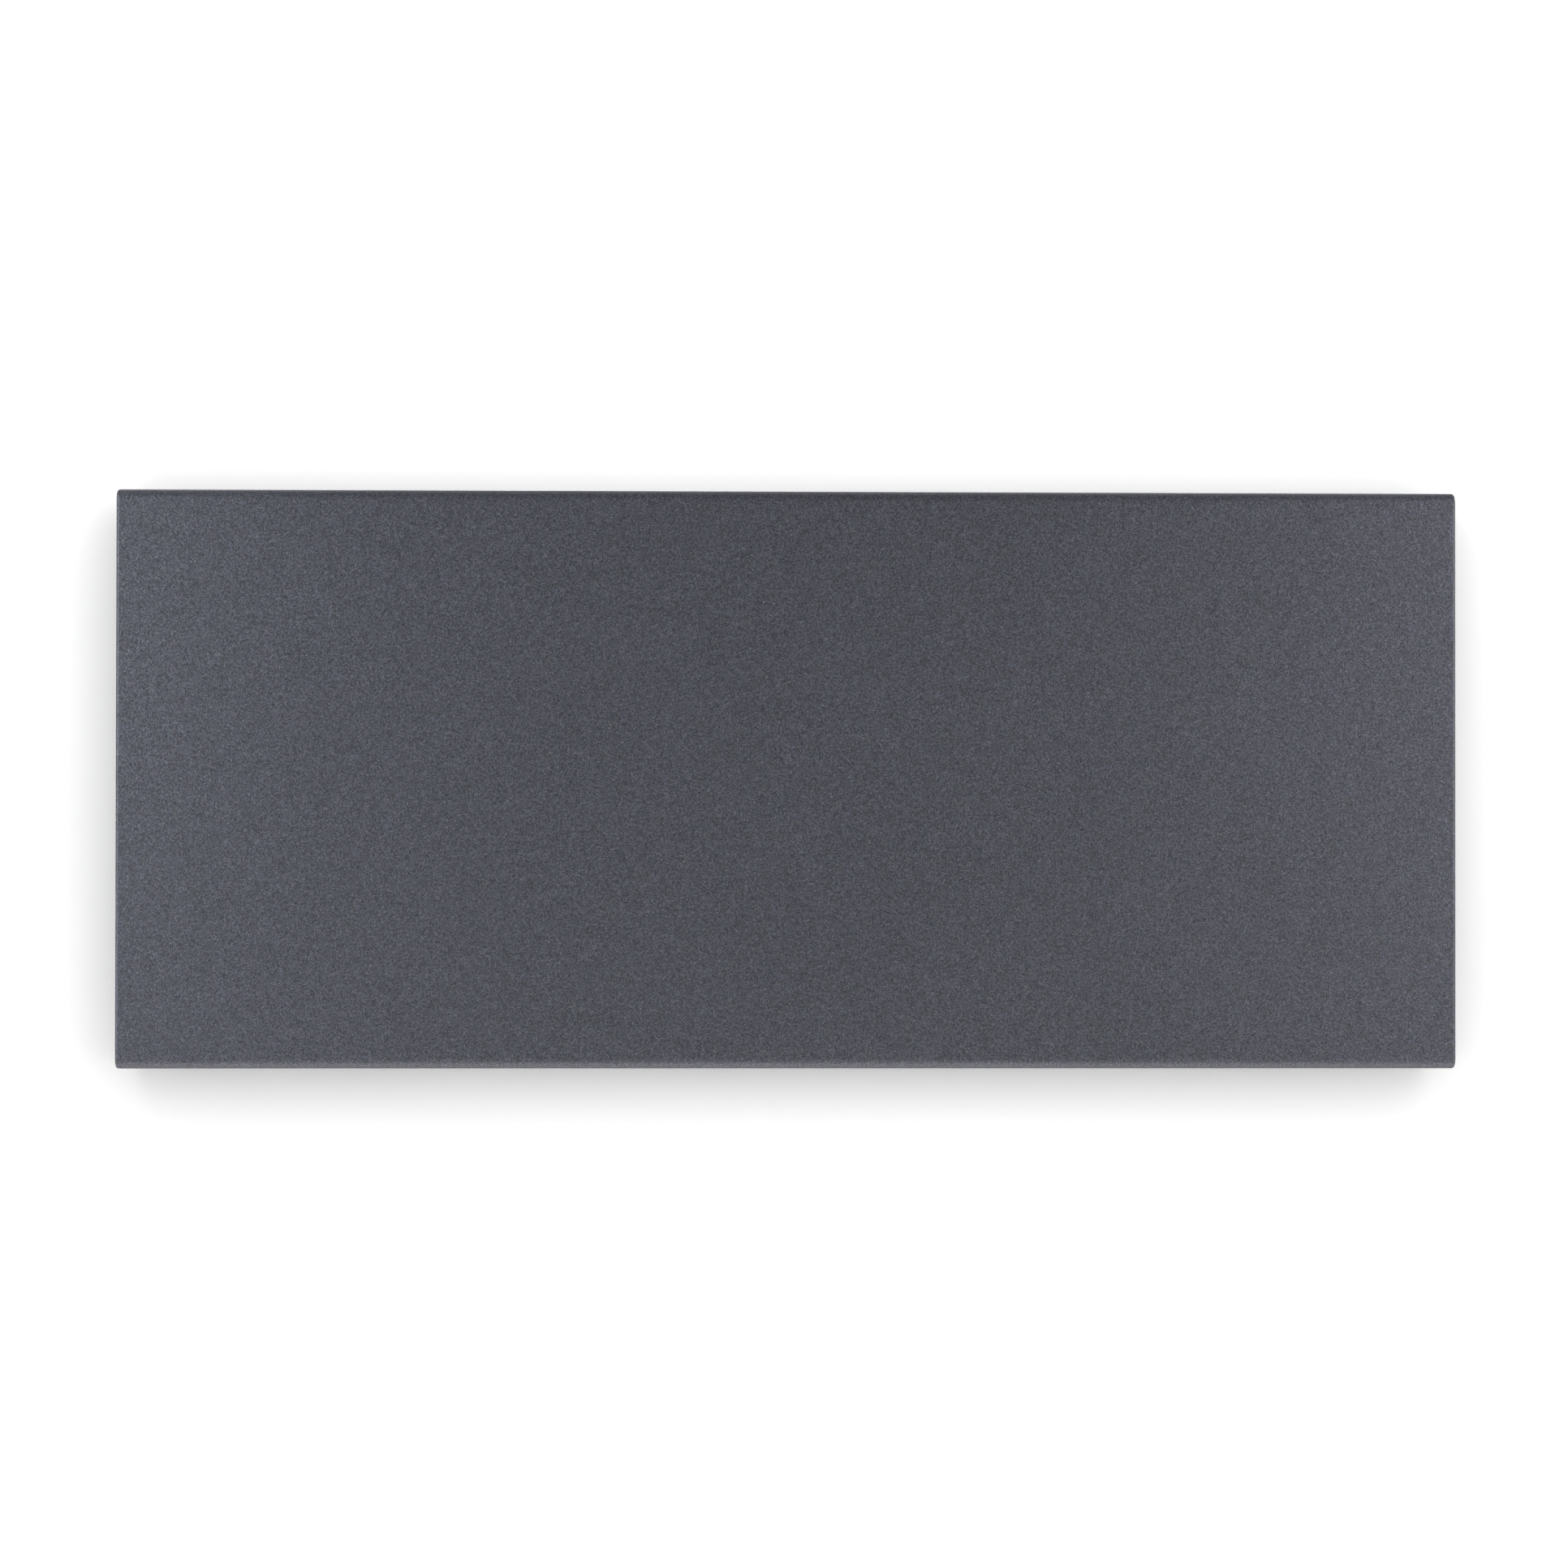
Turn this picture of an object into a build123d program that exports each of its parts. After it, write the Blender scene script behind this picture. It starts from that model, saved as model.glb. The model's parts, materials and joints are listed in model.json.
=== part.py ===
from build123d import *
import math
import os

os.makedirs("parts", exist_ok=True)

# Wall-mounted electric panel radiator. X runs to the viewer's right and Z up. The wall is the plane
# Y = 0, and "out" is a distance from the wall into the room, so Y is minus out. The origin is the
# middle of the four wall screw holes.

# Whole radiator
panel_width = 858
panel_height = 370
overall_depth = 84
wall_gap = 26

# Sheet steel casing
sheet = 1
sheet_gap = 0.2
front_bend_radius = 7
side_bend_radius = 2
outlet_width = 24
side_return_depth = 10
hem_drop = 6
rear_flange_depth = 8
rear_bend_radius = 3

# Clearances shared by pieces that meet
running_gap = 0.05
small_gap = 0.1
button_gap = 0.2
rest_gap = 0.3
overrun = 5

half_width = panel_width / 2
half_height = panel_height / 2
front_inner = overall_depth - sheet
rear_inner = wall_gap + sheet
rear_flange_end = wall_gap + rear_flange_depth
flange_end = rear_flange_end + outlet_width


# Basic solids, placed by X, out and Z
def block(x0, x1, out0, out1, z0, z1):
    middle = Pos((x0 + x1) / 2, -(out0 + out1) / 2, (z0 + z1) / 2)
    return middle * Box(abs(x1 - x0), abs(out1 - out0), abs(z1 - z0))


def rod_along_x(x0, x1, out, z, radius):
    return Pos((x0 + x1) / 2, -out, z) * Rot(0, 90, 0) * Cylinder(radius, abs(x1 - x0))


def rod_along_y(x, out0, out1, z, radius):
    return Pos(x, -(out0 + out1) / 2, z) * Rot(90, 0, 0) * Cylinder(radius, abs(out1 - out0))


def rod_along_z(x, out, z0, z1, radius):
    return Pos(x, -out, (z0 + z1) / 2) * Cylinder(radius, abs(z1 - z0))


# A flat outline in (out, Z) pulled along X from x0 to x1
def side_profile(outline, x0, x1):
    plane = Plane(origin=(x1, 0, 0), x_dir=(0, -1, 0), z_dir=(-1, 0, 0))
    return extrude(plane * outline, amount=x1 - x0)


# A flat outline in (X, Z) pulled along the wall distance from out0 to out1
def front_profile(outline, out0, out1):
    plane = Plane(origin=(0, -out0, 0), x_dir=(1, 0, 0), z_dir=(0, -1, 0))
    return extrude(plane * outline, amount=out1 - out0)


def mirrored(shape):
    return mirror(shape, about=Plane.YZ)


def both_sides(shape):
    return [shape, mirrored(shape)]


# Several solids that share one node
def save(name, *shapes):
    solids = [solid for shape in shapes for solid in shape.solids()]
    whole = solids[0] if len(solids) == 1 else Compound(solids)
    export_step(whole, f"parts/{name}.step")


# Rounded outer form of the front panel, drawn in by one inset on every side but the open back
def panel_form(inset, back):
    body = block(
        -half_width + inset, half_width - inset, back, overall_depth - inset,
        -half_height + inset, half_height - inset,
    )
    front_edges = body.edges().filter_by(Axis.X).group_by(Axis.Y)[0]
    body = fillet(front_edges, front_bend_radius - inset)
    ends = body.faces().sort_by(Axis.X)
    end_edges = [edge for end in (ends[0], ends[-1]) for edge in end.edges().sort_by(Axis.Y)[:-1]]
    return fillet(end_edges, side_bend_radius - inset)


# End caps close the sides, set back a little inside the front panel's returns
cap_inset = 1.5
cap_depth = 14
cap_wall = 2
cap_rim_radius = 1.5
cap_boss_width = 10
cap_boss_depth = 14
cap_outer = half_width - cap_inset
cap_inner = cap_outer - cap_depth
cap_front = front_inner - sheet_gap
cap_back = rear_inner + sheet_gap
cap_top = half_height - sheet - sheet_gap

# Screws that hold the rear cover to what stands behind it
rear_screw_radius = 1.6
rear_screw_head_radius = 3.4
rear_screw_head_height = 1.8
rear_screw_length = 10
screw_slot_width = 0.8
screw_slot_depth = 1
cap_screw_x = cap_outer - cap_wall - cap_boss_width / 2
cap_screw_z = cap_top - cap_wall - cap_boss_width / 2

# Countersunk screws that hold the front panel's lower flange to the end caps
panel_screw_radius = 1.5
panel_screw_head_radius = 3
panel_screw_head_height = 1.6
panel_screw_length = 9
panel_screw_out = (flange_end + overall_depth) / 2 - side_bend_radius


# Countersunk head and shank on one axis, drawn from the head face down, swollen by one gap
def countersunk_form(gap):
    head = Cone(
        panel_screw_radius + gap, panel_screw_head_radius + gap, panel_screw_head_height,
        align=(Align.CENTER, Align.CENTER, Align.MAX),
    )
    shank = Cylinder(
        panel_screw_radius + gap, panel_screw_length,
        align=(Align.CENTER, Align.CENTER, Align.MAX),
    )
    return head + shank


def panel_screw(gap):
    place = Pos(cap_screw_x, -panel_screw_out, -half_height) * Rot(180, 0, 0)
    return place * countersunk_form(gap)


def slot_in_panel_screw():
    return block(
        cap_screw_x - panel_screw_head_radius, cap_screw_x + panel_screw_head_radius,
        panel_screw_out - screw_slot_width / 2, panel_screw_out + screw_slot_width / 2,
        -half_height - overrun, -half_height + screw_slot_width,
    )


# Front panel: one folded sheet with top and bottom flanges, side returns and turned-in hems
def front_panel():
    body = panel_form(0, flange_end) - panel_form(sheet, flange_end - overrun)
    opening = half_height - side_bend_radius
    for side in (-1, 1):
        body -= block(
            side * (half_width - side_bend_radius), side * (half_width + overrun),
            flange_end - overrun, overall_depth - side_return_depth, -opening, opening,
        )
    hem_end = cap_inner - sheet_gap
    for side in (-1, 1):
        body += block(
            -hem_end, hem_end, flange_end, flange_end + sheet,
            side * (half_height - sheet - hem_drop), side * (half_height - sheet),
        )
    for hole in both_sides(panel_screw(small_gap)):
        body -= hole
    return body


# Hat-section stiffeners spot-welded behind the front face
stiffener_x = 150
stiffener_end_gap = 35
stiffener_web = 26
stiffener_lip = 12
stiffener_depth = 8
stiffener_sheet = 0.8
stiffener_half_height = half_height - stiffener_end_gap
stiffener_front = front_inner - stiffener_depth


def stiffener():
    outer = block(
        stiffener_x - stiffener_web / 2, stiffener_x + stiffener_web / 2,
        stiffener_front, front_inner, -stiffener_half_height, stiffener_half_height,
    )
    hollow = block(
        stiffener_x - stiffener_web / 2 + stiffener_sheet,
        stiffener_x + stiffener_web / 2 - stiffener_sheet,
        stiffener_front + stiffener_sheet, front_inner + overrun,
        -stiffener_half_height - overrun, stiffener_half_height + overrun,
    )
    lips = block(
        stiffener_x - stiffener_web / 2 - stiffener_lip,
        stiffener_x + stiffener_web / 2 + stiffener_lip,
        front_inner - stiffener_sheet, front_inner, -stiffener_half_height, stiffener_half_height,
    )
    return outer + lips - hollow


# Wall bracket: two folded uprights joined by two rails
upright_from_end = 229
upright_width = 40
upright_clearance = 6
upright_top_gap = 45
upright_bottom_gap = 21
bracket_sheet = 1.5
bracket_bend_radius = 2.5
wall_hole_radius = 3
wall_hole_end_gap = 65
rail_end_gap = 105
rail_height = 40
rail_lip = 10
rail_tab_depth = 16
rail_tab_height = 32
rail_slot_pitch = 60
rail_slot_length = 30
rail_slot_width = 8
rail_slots_each_side = 2
bracket_rivet_radius = 2
bracket_rivet_head_radius = 3.6
bracket_rivet_head_height = 1.2
bracket_rivet_z = 8
bracket_rivet_out = 11
flange_corner = 8
upright_x = half_width - upright_from_end
upright_top = half_height - upright_top_gap
upright_bottom = half_height - upright_bottom_gap
wall_hole_z = half_height - wall_hole_end_gap
rail_z = half_height - rail_end_gap
upright_depth = wall_gap - upright_clearance
upright_inner_face = upright_x - upright_width / 2
upright_outer_face = upright_x + upright_width / 2

# Hinge: round pins across the uprights, and hooks on the heater that hang over them
pin_setback = 6
pin_above_bottom = 35
pin_radius = 4
pin_head_radius = 6.5
pin_head_height = 2
hook_half_width = 15
hook_cheek = 2
hook_base = 1.5
hook_base_above_pin = 26
hook_base_below_pin = 22
hook_arm_radius = 9
hook_tail_drop = 11
hook_rivet_x = 8
hook_rivet_inset = 6
rivet_radius = 1.8
rivet_head_radius = 3.4
rivet_head_height = 1.2
pin_out = upright_depth - pin_setback
pin_z = -half_height + pin_above_bottom
hook_base_top = pin_z + hook_base_above_pin
hook_base_bottom = pin_z - hook_base_below_pin

# Catch clips on the heater pinch the outer flanges of the uprights
clip_sheet = 0.8
clip_end_gap = 65
clip_height = 16
clip_reach = 15
clip_flare = 4
clip_flare_drop = 2
clip_base_length = 26
clip_rivet_first = 11
clip_rivet_pitch = 10
clip_rivet_radius = 1.5
clip_z = half_height - clip_end_gap

# Rubber bumpers clipped on the inner flanges
bumper_width = 7
bumper_height = 20
bumper_grip = 6
bumper_z = 20
bumper_out_end = wall_gap - rest_gap


def upright_holes():
    holes = []
    for level in (-wall_hole_z, wall_hole_z):
        holes.append(rod_along_y(upright_x, -overrun, overrun, level, wall_hole_radius))
    holes.append(
        rod_along_x(
            upright_inner_face - overrun, upright_outer_face + overrun, pin_out, pin_z,
            pin_radius + running_gap,
        )
    )
    for rail in (-rail_z, rail_z):
        for step in (-bracket_rivet_z, bracket_rivet_z):
            holes.append(
                rod_along_x(
                    upright_inner_face - overrun, upright_inner_face + overrun,
                    bracket_rivet_out, rail + step, bracket_rivet_radius,
                )
            )
    return holes


def bracket_upright():
    outer = block(
        upright_inner_face, upright_outer_face, 0, upright_depth, -upright_bottom, upright_top
    )
    outer = fillet(outer.edges().filter_by(Axis.Z).group_by(Axis.Y)[-1], bracket_bend_radius)
    outer = chamfer(outer.edges().filter_by(Axis.X).group_by(Axis.Y)[0], flange_corner)
    hollow = block(
        upright_inner_face + bracket_sheet, upright_outer_face - bracket_sheet,
        bracket_sheet, upright_depth + overrun,
        -upright_bottom - overrun, upright_top + overrun,
    )
    inner_radius = bracket_bend_radius - bracket_sheet
    hollow = fillet(hollow.edges().filter_by(Axis.Z).group_by(Axis.Y)[-1], inner_radius)
    body = outer - hollow
    for hole in upright_holes():
        body -= hole
    return body


def bracket_rail(level):
    half = rail_height / 2
    reach = upright_inner_face
    body = block(-reach, reach, 0, rail_lip, level - half, level + half)
    body = fillet(body.edges().filter_by(Axis.X).group_by(Axis.Y)[-1], bracket_bend_radius)
    hollow = block(
        -reach - overrun, reach + overrun, bracket_sheet, rail_lip + overrun,
        level - half + bracket_sheet, level + half - bracket_sheet,
    )
    inner_radius = bracket_bend_radius - bracket_sheet
    body -= fillet(hollow.edges().filter_by(Axis.X).group_by(Axis.Y)[-1], inner_radius)
    for side in (-1, 1):
        body += block(
            side * (reach - bracket_sheet), side * reach, 0, rail_tab_depth,
            level - rail_tab_height / 2, level + rail_tab_height / 2,
        )
        for step in (-bracket_rivet_z, bracket_rivet_z):
            body -= rod_along_x(
                side * (reach - overrun), side * (reach + overrun),
                bracket_rivet_out, level + step, bracket_rivet_radius,
            )
    slot = SlotOverall(rail_slot_length, rail_slot_width)
    for step in range(-rail_slots_each_side, rail_slots_each_side + 1):
        place = Pos(step * rail_slot_pitch, level)
        body -= front_profile(place * slot, -overrun, bracket_sheet + overrun)
    return body


# Rivet along X with a head at each end
def rivet_along_x(x0, x1, out, z, radius, head_radius, head_height):
    body = rod_along_x(x0, x1, out, z, radius)
    body += rod_along_x(x0 - head_height, x0, out, z, head_radius)
    body += rod_along_x(x1, x1 + head_height, out, z, head_radius)
    return body


def bracket_rivets():
    rivets = []
    for rail in (-rail_z, rail_z):
        for step in (-bracket_rivet_z, bracket_rivet_z):
            rivets.append(
                rivet_along_x(
                    upright_inner_face - bracket_sheet, upright_inner_face + bracket_sheet,
                    bracket_rivet_out, rail + step,
                    bracket_rivet_radius, bracket_rivet_head_radius, bracket_rivet_head_height,
                )
            )
    return rivets


def hinge_pin():
    return rivet_along_x(
        upright_inner_face, upright_outer_face, pin_out, pin_z,
        pin_radius, pin_head_radius, pin_head_height,
    )


def bumper(level):
    middle = upright_inner_face + bracket_sheet / 2
    body = block(
        middle - bumper_width / 2, middle + bumper_width / 2,
        upright_depth - bumper_grip, bumper_out_end,
        level - bumper_height / 2, level + bumper_height / 2,
    )
    groove = block(
        upright_inner_face, upright_inner_face + bracket_sheet,
        upright_depth - bumper_grip - overrun, upright_depth,
        level - bumper_height / 2 - overrun, level + bumper_height / 2 + overrun,
    )
    return fillet(body.edges().filter_by(Axis.Z).group_by(Axis.Y)[0], bracket_sheet) - groove


# One cheek of a hook: an arm over the pin, a slot open downwards and a tail that stops the tilt
def hook_cheek_outline():
    back = pin_out - hook_arm_radius
    base = wall_gap - hook_base
    slot_half = pin_radius + running_gap
    with BuildSketch() as outline:
        with BuildLine():
            Polyline(
                (base, hook_base_top), (base, hook_base_bottom),
                (pin_out + slot_half, pin_z - hook_tail_drop),
                (back, pin_z - hook_tail_drop), (back, pin_z + hook_arm_radius),
                (base - hook_base, hook_base_top), (base, hook_base_top),
            )
        make_face()
        with Locations((pin_out, pin_z)):
            Circle(slot_half, mode=Mode.SUBTRACT)
        with Locations((pin_out, pin_z - panel_height / 2)):
            Rectangle(2 * slot_half, panel_height, mode=Mode.SUBTRACT)
    return outline.sketch


def hinge_hook():
    body = block(
        upright_x - hook_half_width, upright_x + hook_half_width,
        wall_gap - hook_base, wall_gap, hook_base_bottom, hook_base_top,
    )
    for side in (-1, 1):
        edge = upright_x + side * hook_half_width
        x0, x1 = sorted((edge, edge - side * hook_cheek))
        body += side_profile(hook_cheek_outline(), x0, x1)
    for x, z in hook_rivet_places():
        body -= rod_along_y(x, wall_gap - overrun, wall_gap + overrun, z, rivet_radius)
    return body


def hook_rivet_places():
    return [
        (upright_x + side * hook_rivet_x, level)
        for side in (-1, 1)
        for level in (hook_base_bottom + hook_rivet_inset, hook_base_top - hook_rivet_inset)
    ]


clip_inner_x = upright_outer_face - bracket_sheet - small_gap - clip_sheet
clip_outer_x = upright_outer_face + small_gap


def clip_rivet_places():
    first = clip_outer_x + clip_rivet_first
    return [(first, clip_z), (first + clip_rivet_pitch, clip_z)]


# Spring-steel clip: a base on the rear cover and two leaves either side of the flange
def catch_clip():
    low = clip_z - clip_height / 2
    high = clip_z + clip_height / 2
    tip = wall_gap - clip_reach
    body = block(
        clip_inner_x, clip_inner_x + clip_base_length + clip_rivet_pitch,
        wall_gap - clip_sheet, wall_gap, low, high,
    )
    for x, away in ((clip_inner_x, -1), (clip_outer_x, 1)):
        leaf = [
            (x, wall_gap - clip_sheet), (x, tip),
            (x + away * clip_flare_drop, tip - clip_flare),
            (x + away * clip_flare_drop + clip_sheet, tip - clip_flare),
            (x + clip_sheet, tip), (x + clip_sheet, wall_gap - clip_sheet),
        ]
        outline = make_face(Polyline(*leaf, close=True))
        floor = Plane(origin=(0, 0, low), x_dir=(1, 0, 0), z_dir=(0, 0, 1))
        body += extrude(floor * mirror(outline, about=Plane.XZ), amount=clip_height)
    for x, z in clip_rivet_places():
        body -= rod_along_y(x, wall_gap - overrun, wall_gap + overrun, z, clip_rivet_radius)
    return body


# Blind rivet from the wall side through a bracket and the rear cover
def cover_rivet(x, z, thickness, radius):
    outside = wall_gap - thickness
    body = rod_along_y(x, outside - rivet_head_height, outside, z, rivet_head_radius)
    body += rod_along_y(x, outside, rear_inner, z, radius)
    body += rod_along_y(x, rear_inner, rear_inner + rivet_head_height, z, radius + sheet)
    return body


def cover_rivets():
    rivets = [cover_rivet(x, z, hook_base, rivet_radius) for x, z in hook_rivet_places()]
    rivets += [cover_rivet(x, z, clip_sheet, clip_rivet_radius) for x, z in clip_rivet_places()]
    return [solid for rivet in rivets for solid in both_sides(rivet)]


# Electrics compartment at the right end, behind a sheet partition
partition_from_end = 129
partition_sheet = 0.8
partition_edge_gap = 11
partition_foot = 14
partition_front_gap = 1
partition_screw_inset = 44
partition_x = half_width - partition_from_end
partition_half_height = half_height - partition_edge_gap
partition_front = front_inner - partition_front_gap
partition_screw_z = partition_half_height - partition_screw_inset

# Heat shield behind the element
shield_standoff = 5
shield_sheet = 0.6
shield_end_gap = 29
shield_partition_gap = 10
shield_top_gap = 25
shield_bottom_gap = 35
shield_foot = 12
shield_screw_inset = 60
shield_bend_radius = 1.5
shield_out = rear_inner + shield_standoff
shield_front = shield_out + shield_sheet
shield_left = half_width - shield_end_gap
shield_right = partition_x - shield_partition_gap
shield_top = half_height - shield_top_gap
shield_bottom = half_height - shield_bottom_gap

# Heating element: an extruded aluminium body of four ribbed wings round a sheathed tube
element_above_bottom = 90
fins_end_gap = 61
fins_partition_gap = 28
hub_radius = 7
wing_share = 0.7
wing_thickness = 1.8
wing_angle = 34
rib_count = 3
rib_length = 5
tube_radius = 4
tube_overhang = 16
insulator_radius = 9
insulator_flange = 2
insulator_neck_radius = 7
insulator_neck = 8
terminal_radius = 1.6
terminal_length = 9
terminal_crimp_radius = 2.2
terminal_crimp_length = 4
element_bracket_sheet = 1.2
element_bracket_height = 56
element_bracket_foot = 20
element_bracket_margin = 4
element_screw_radius = 1.5
element_screw_head_radius = 3
element_screw_head_height = 1.6
element_screw_z = 16
element_out = (shield_front + stiffener_front) / 2
wing_length = wing_share * (stiffener_front - shield_front)
element_z = -half_height + element_above_bottom
element_bracket_front = element_out + insulator_radius + element_bracket_margin
fins_left = half_width - fins_end_gap
fins_right = partition_x - fins_partition_gap
tube_left = -(fins_left + tube_overhang)
tube_right = fins_right + tube_overhang

# Thermal cut-out clamped on the shield above the element
cutout_from_partition = 150
cutout_above_element = 75
cutout_radius = 7.8
cutout_flange_radius = 9.5
cutout_flange = 1.5
cutout_height = 10
cutout_blade_reach = 14
cutout_blade_width = 5
cutout_blade = 1
cutout_clip_half_length = 18
cutout_clip_half_height = 10
cutout_clip_sheet = 0.8
cutout_x = partition_x - cutout_from_partition
cutout_z = element_z + cutout_above_element
cutout_blade_out = shield_front + cutout_height - cutout_blade


def fins_outline():
    with BuildSketch() as outline:
        Circle(hub_radius)
        for turn in (wing_angle, -wing_angle, 180 - wing_angle, 180 + wing_angle):
            with Locations(Rot(0, 0, turn)):
                with Locations((0, wing_length / 2)):
                    Rectangle(wing_thickness, wing_length)
                for step in range(1, rib_count + 1):
                    reach = hub_radius + step * (wing_length - hub_radius) / rib_count
                    with Locations((0, reach - wing_thickness / 2)):
                        Rectangle(rib_length, wing_thickness)
        Circle(tube_radius + running_gap, mode=Mode.SUBTRACT)
    return outline.sketch


def element_fins():
    return side_profile(Pos(element_out, element_z) * fins_outline(), -fins_left, fins_right)


def heating_tube():
    return rod_along_x(tube_left, tube_right, element_out, element_z, tube_radius)


# Bracket web planes, the two insulators and the terminals follow the tube's ends
bracket_web_x = (tube_left + insulator_neck / 2, tube_right - insulator_neck / 2)


def element_insulator(end_x, inward):
    neck = rod_along_x(
        min(end_x, end_x + inward * insulator_neck), max(end_x, end_x + inward * insulator_neck),
        element_out, element_z, insulator_neck_radius,
    )
    start = end_x + inward * (insulator_neck / 2 + element_bracket_sheet / 2)
    flange = rod_along_x(
        min(start, start + inward * insulator_flange),
        max(start, start + inward * insulator_flange),
        element_out, element_z, insulator_radius,
    )
    bore = rod_along_x(
        end_x - insulator_neck - overrun, end_x + insulator_neck + overrun,
        element_out, element_z, tube_radius + running_gap,
    )
    return neck + flange - bore


def element_terminal(end_x, away):
    tip = end_x + away * terminal_length
    crimp = tip - away * terminal_crimp_length
    pin = rod_along_x(
        min(end_x, tip), max(end_x, tip), element_out, element_z, terminal_radius
    )
    collar = rod_along_x(
        min(crimp, tip), max(crimp, tip), element_out, element_z, terminal_crimp_radius
    )
    return pin + collar


def element_bracket(web_x, inward):
    half = element_bracket_sheet / 2
    low = element_z - element_bracket_height / 2
    high = element_z + element_bracket_height / 2
    web = block(web_x - half, web_x + half, shield_front, element_bracket_front, low, high)
    foot_end = web_x + inward * element_bracket_foot
    foot = block(
        min(web_x - half, foot_end), max(web_x + half, foot_end),
        shield_front, shield_front + element_bracket_sheet, low, high,
    )
    hole = rod_along_x(
        web_x - overrun, web_x + overrun, element_out, element_z,
        insulator_neck_radius + running_gap,
    )
    body = web + foot - hole
    for x, z in element_screw_places(web_x, inward):
        body -= rod_along_y(x, shield_front, shield_front + overrun, z, element_screw_radius)
    return body


def element_screw_places(web_x, inward):
    x = web_x + inward * element_bracket_foot / 2
    return [(x, element_z - element_screw_z), (x, element_z + element_screw_z)]


def all_element_screw_places():
    left = element_screw_places(bracket_web_x[0], 1)
    right = element_screw_places(bracket_web_x[1], -1)
    return left + right


# Screw with a round slotted head, whose shank runs from the head towards the wall
def sheet_screw(x, seat, z, length, radius, head_radius, head_height):
    body = rod_along_y(x, seat - length, seat, z, radius)
    body += rod_along_y(x, seat, seat + head_height, z, head_radius)
    body -= block(
        x - head_radius, x + head_radius,
        seat + head_height / 2, seat + head_height + overrun,
        z - screw_slot_width / 2, z + screw_slot_width / 2,
    )
    return body


def element_screws():
    seat = shield_front + element_bracket_sheet
    length = seat - shield_out + sheet
    screws = [
        sheet_screw(
            x, seat, z, length,
            element_screw_radius, element_screw_head_radius, element_screw_head_height,
        )
        for x, z in all_element_screw_places()
    ]
    seat = shield_front + cutout_flange + cutout_clip_sheet
    screws += [
        sheet_screw(
            x, seat, cutout_z, seat - shield_out + sheet,
            element_screw_radius, element_screw_head_radius, element_screw_head_height,
        )
        for x in cutout_screw_xs()
    ]
    return screws


def cutout_screw_xs():
    reach = (cutout_clip_half_length + cutout_flange_radius) / 2 + rest_gap
    return (cutout_x - reach, cutout_x + reach)


def heat_shield():
    body = block(-shield_left, shield_right, rear_inner, shield_front, -shield_bottom, shield_top)
    body = fillet(body.edges().filter_by(Axis.X).group_by(Axis.Y)[0], shield_bend_radius)
    hollow = block(
        -shield_left - overrun, shield_right + overrun, rear_inner - overrun, shield_out,
        -shield_bottom + shield_sheet, shield_top - shield_sheet,
    )
    inner_radius = shield_bend_radius - shield_sheet
    body -= fillet(hollow.edges().filter_by(Axis.X).group_by(Axis.Y)[0], inner_radius)
    for x, z in shield_foot_places():
        side = 1 if z > 0 else -1
        body += block(
            x - shield_foot, x + shield_foot, rear_inner, rear_inner + shield_sheet,
            z - side * shield_foot / 2, z + side * (shield_foot / 2 + shield_sheet),
        )
        body -= rod_along_y(x, rear_inner - overrun, shield_out, z, rear_screw_radius)
    for x, z in all_element_screw_places():
        body -= rod_along_y(x, shield_out - overrun, shield_front + overrun, z, element_screw_radius)
    for x in cutout_screw_xs():
        body -= rod_along_y(
            x, shield_out - overrun, shield_front + overrun, cutout_z, element_screw_radius
        )
    return body


# Feet folded outwards from the shield's upper and lower edges
def shield_foot_places():
    xs = (-shield_left + shield_screw_inset, shield_right - shield_screw_inset)
    zs = (shield_top + shield_foot / 2, -shield_bottom - shield_foot / 2)
    return [(x, z) for x in xs for z in zs]


def thermal_cutout():
    body = rod_along_y(
        cutout_x, shield_front, shield_front + cutout_flange, cutout_z, cutout_flange_radius
    )
    body += rod_along_y(
        cutout_x, shield_front, shield_front + cutout_height, cutout_z, cutout_radius
    )
    for side in (-1, 1):
        body += block(
            cutout_x, cutout_x + side * cutout_blade_reach,
            cutout_blade_out - cutout_blade / 2, cutout_blade_out + cutout_blade / 2,
            cutout_z - cutout_blade_width / 2, cutout_z + cutout_blade_width / 2,
        )
    return body


def cutout_clip():
    seat = shield_front + cutout_flange
    body = block(
        cutout_x - cutout_clip_half_length, cutout_x + cutout_clip_half_length,
        shield_front, seat + cutout_clip_sheet,
        cutout_z - cutout_clip_half_height, cutout_z + cutout_clip_half_height,
    )
    body -= rod_along_y(
        cutout_x, shield_front - overrun, seat, cutout_z, cutout_flange_radius + running_gap
    )
    body -= rod_along_y(cutout_x, seat, seat + overrun, cutout_z, cutout_radius + running_gap)
    for x in cutout_screw_xs():
        body -= rod_along_y(x, shield_front - overrun, seat + overrun, cutout_z, element_screw_radius)
    return body


# Holes with rubber grommets let the element leads through the partition
lead_radius = 1.3
grommet_radius = 5
grommet_groove_radius = 3.8
grommet_bore_radius = lead_radius + rest_gap
grommet_length = 4
cutout_lead_setback = 6
cutout_lead_rise = 28
cutout_lead_out = element_out - cutout_lead_setback
cutout_lead_z = cutout_z + cutout_lead_rise
grommet_places = ((element_out, element_z), (cutout_lead_out, cutout_lead_z))


def electrics_partition():
    body = block(
        partition_x, partition_x + partition_sheet, rear_inner, partition_front,
        -partition_half_height, partition_half_height,
    )
    body += block(
        partition_x, partition_x + partition_foot, rear_inner, rear_inner + partition_sheet,
        -partition_half_height, partition_half_height,
    )
    for out, z in grommet_places:
        body -= rod_along_x(
            partition_x - overrun, partition_x + overrun, out, z, grommet_groove_radius
        )
    for x, z in partition_screw_places():
        body -= rod_along_y(x, rear_inner - overrun, rear_inner + overrun, z, rear_screw_radius)
    return body


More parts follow.
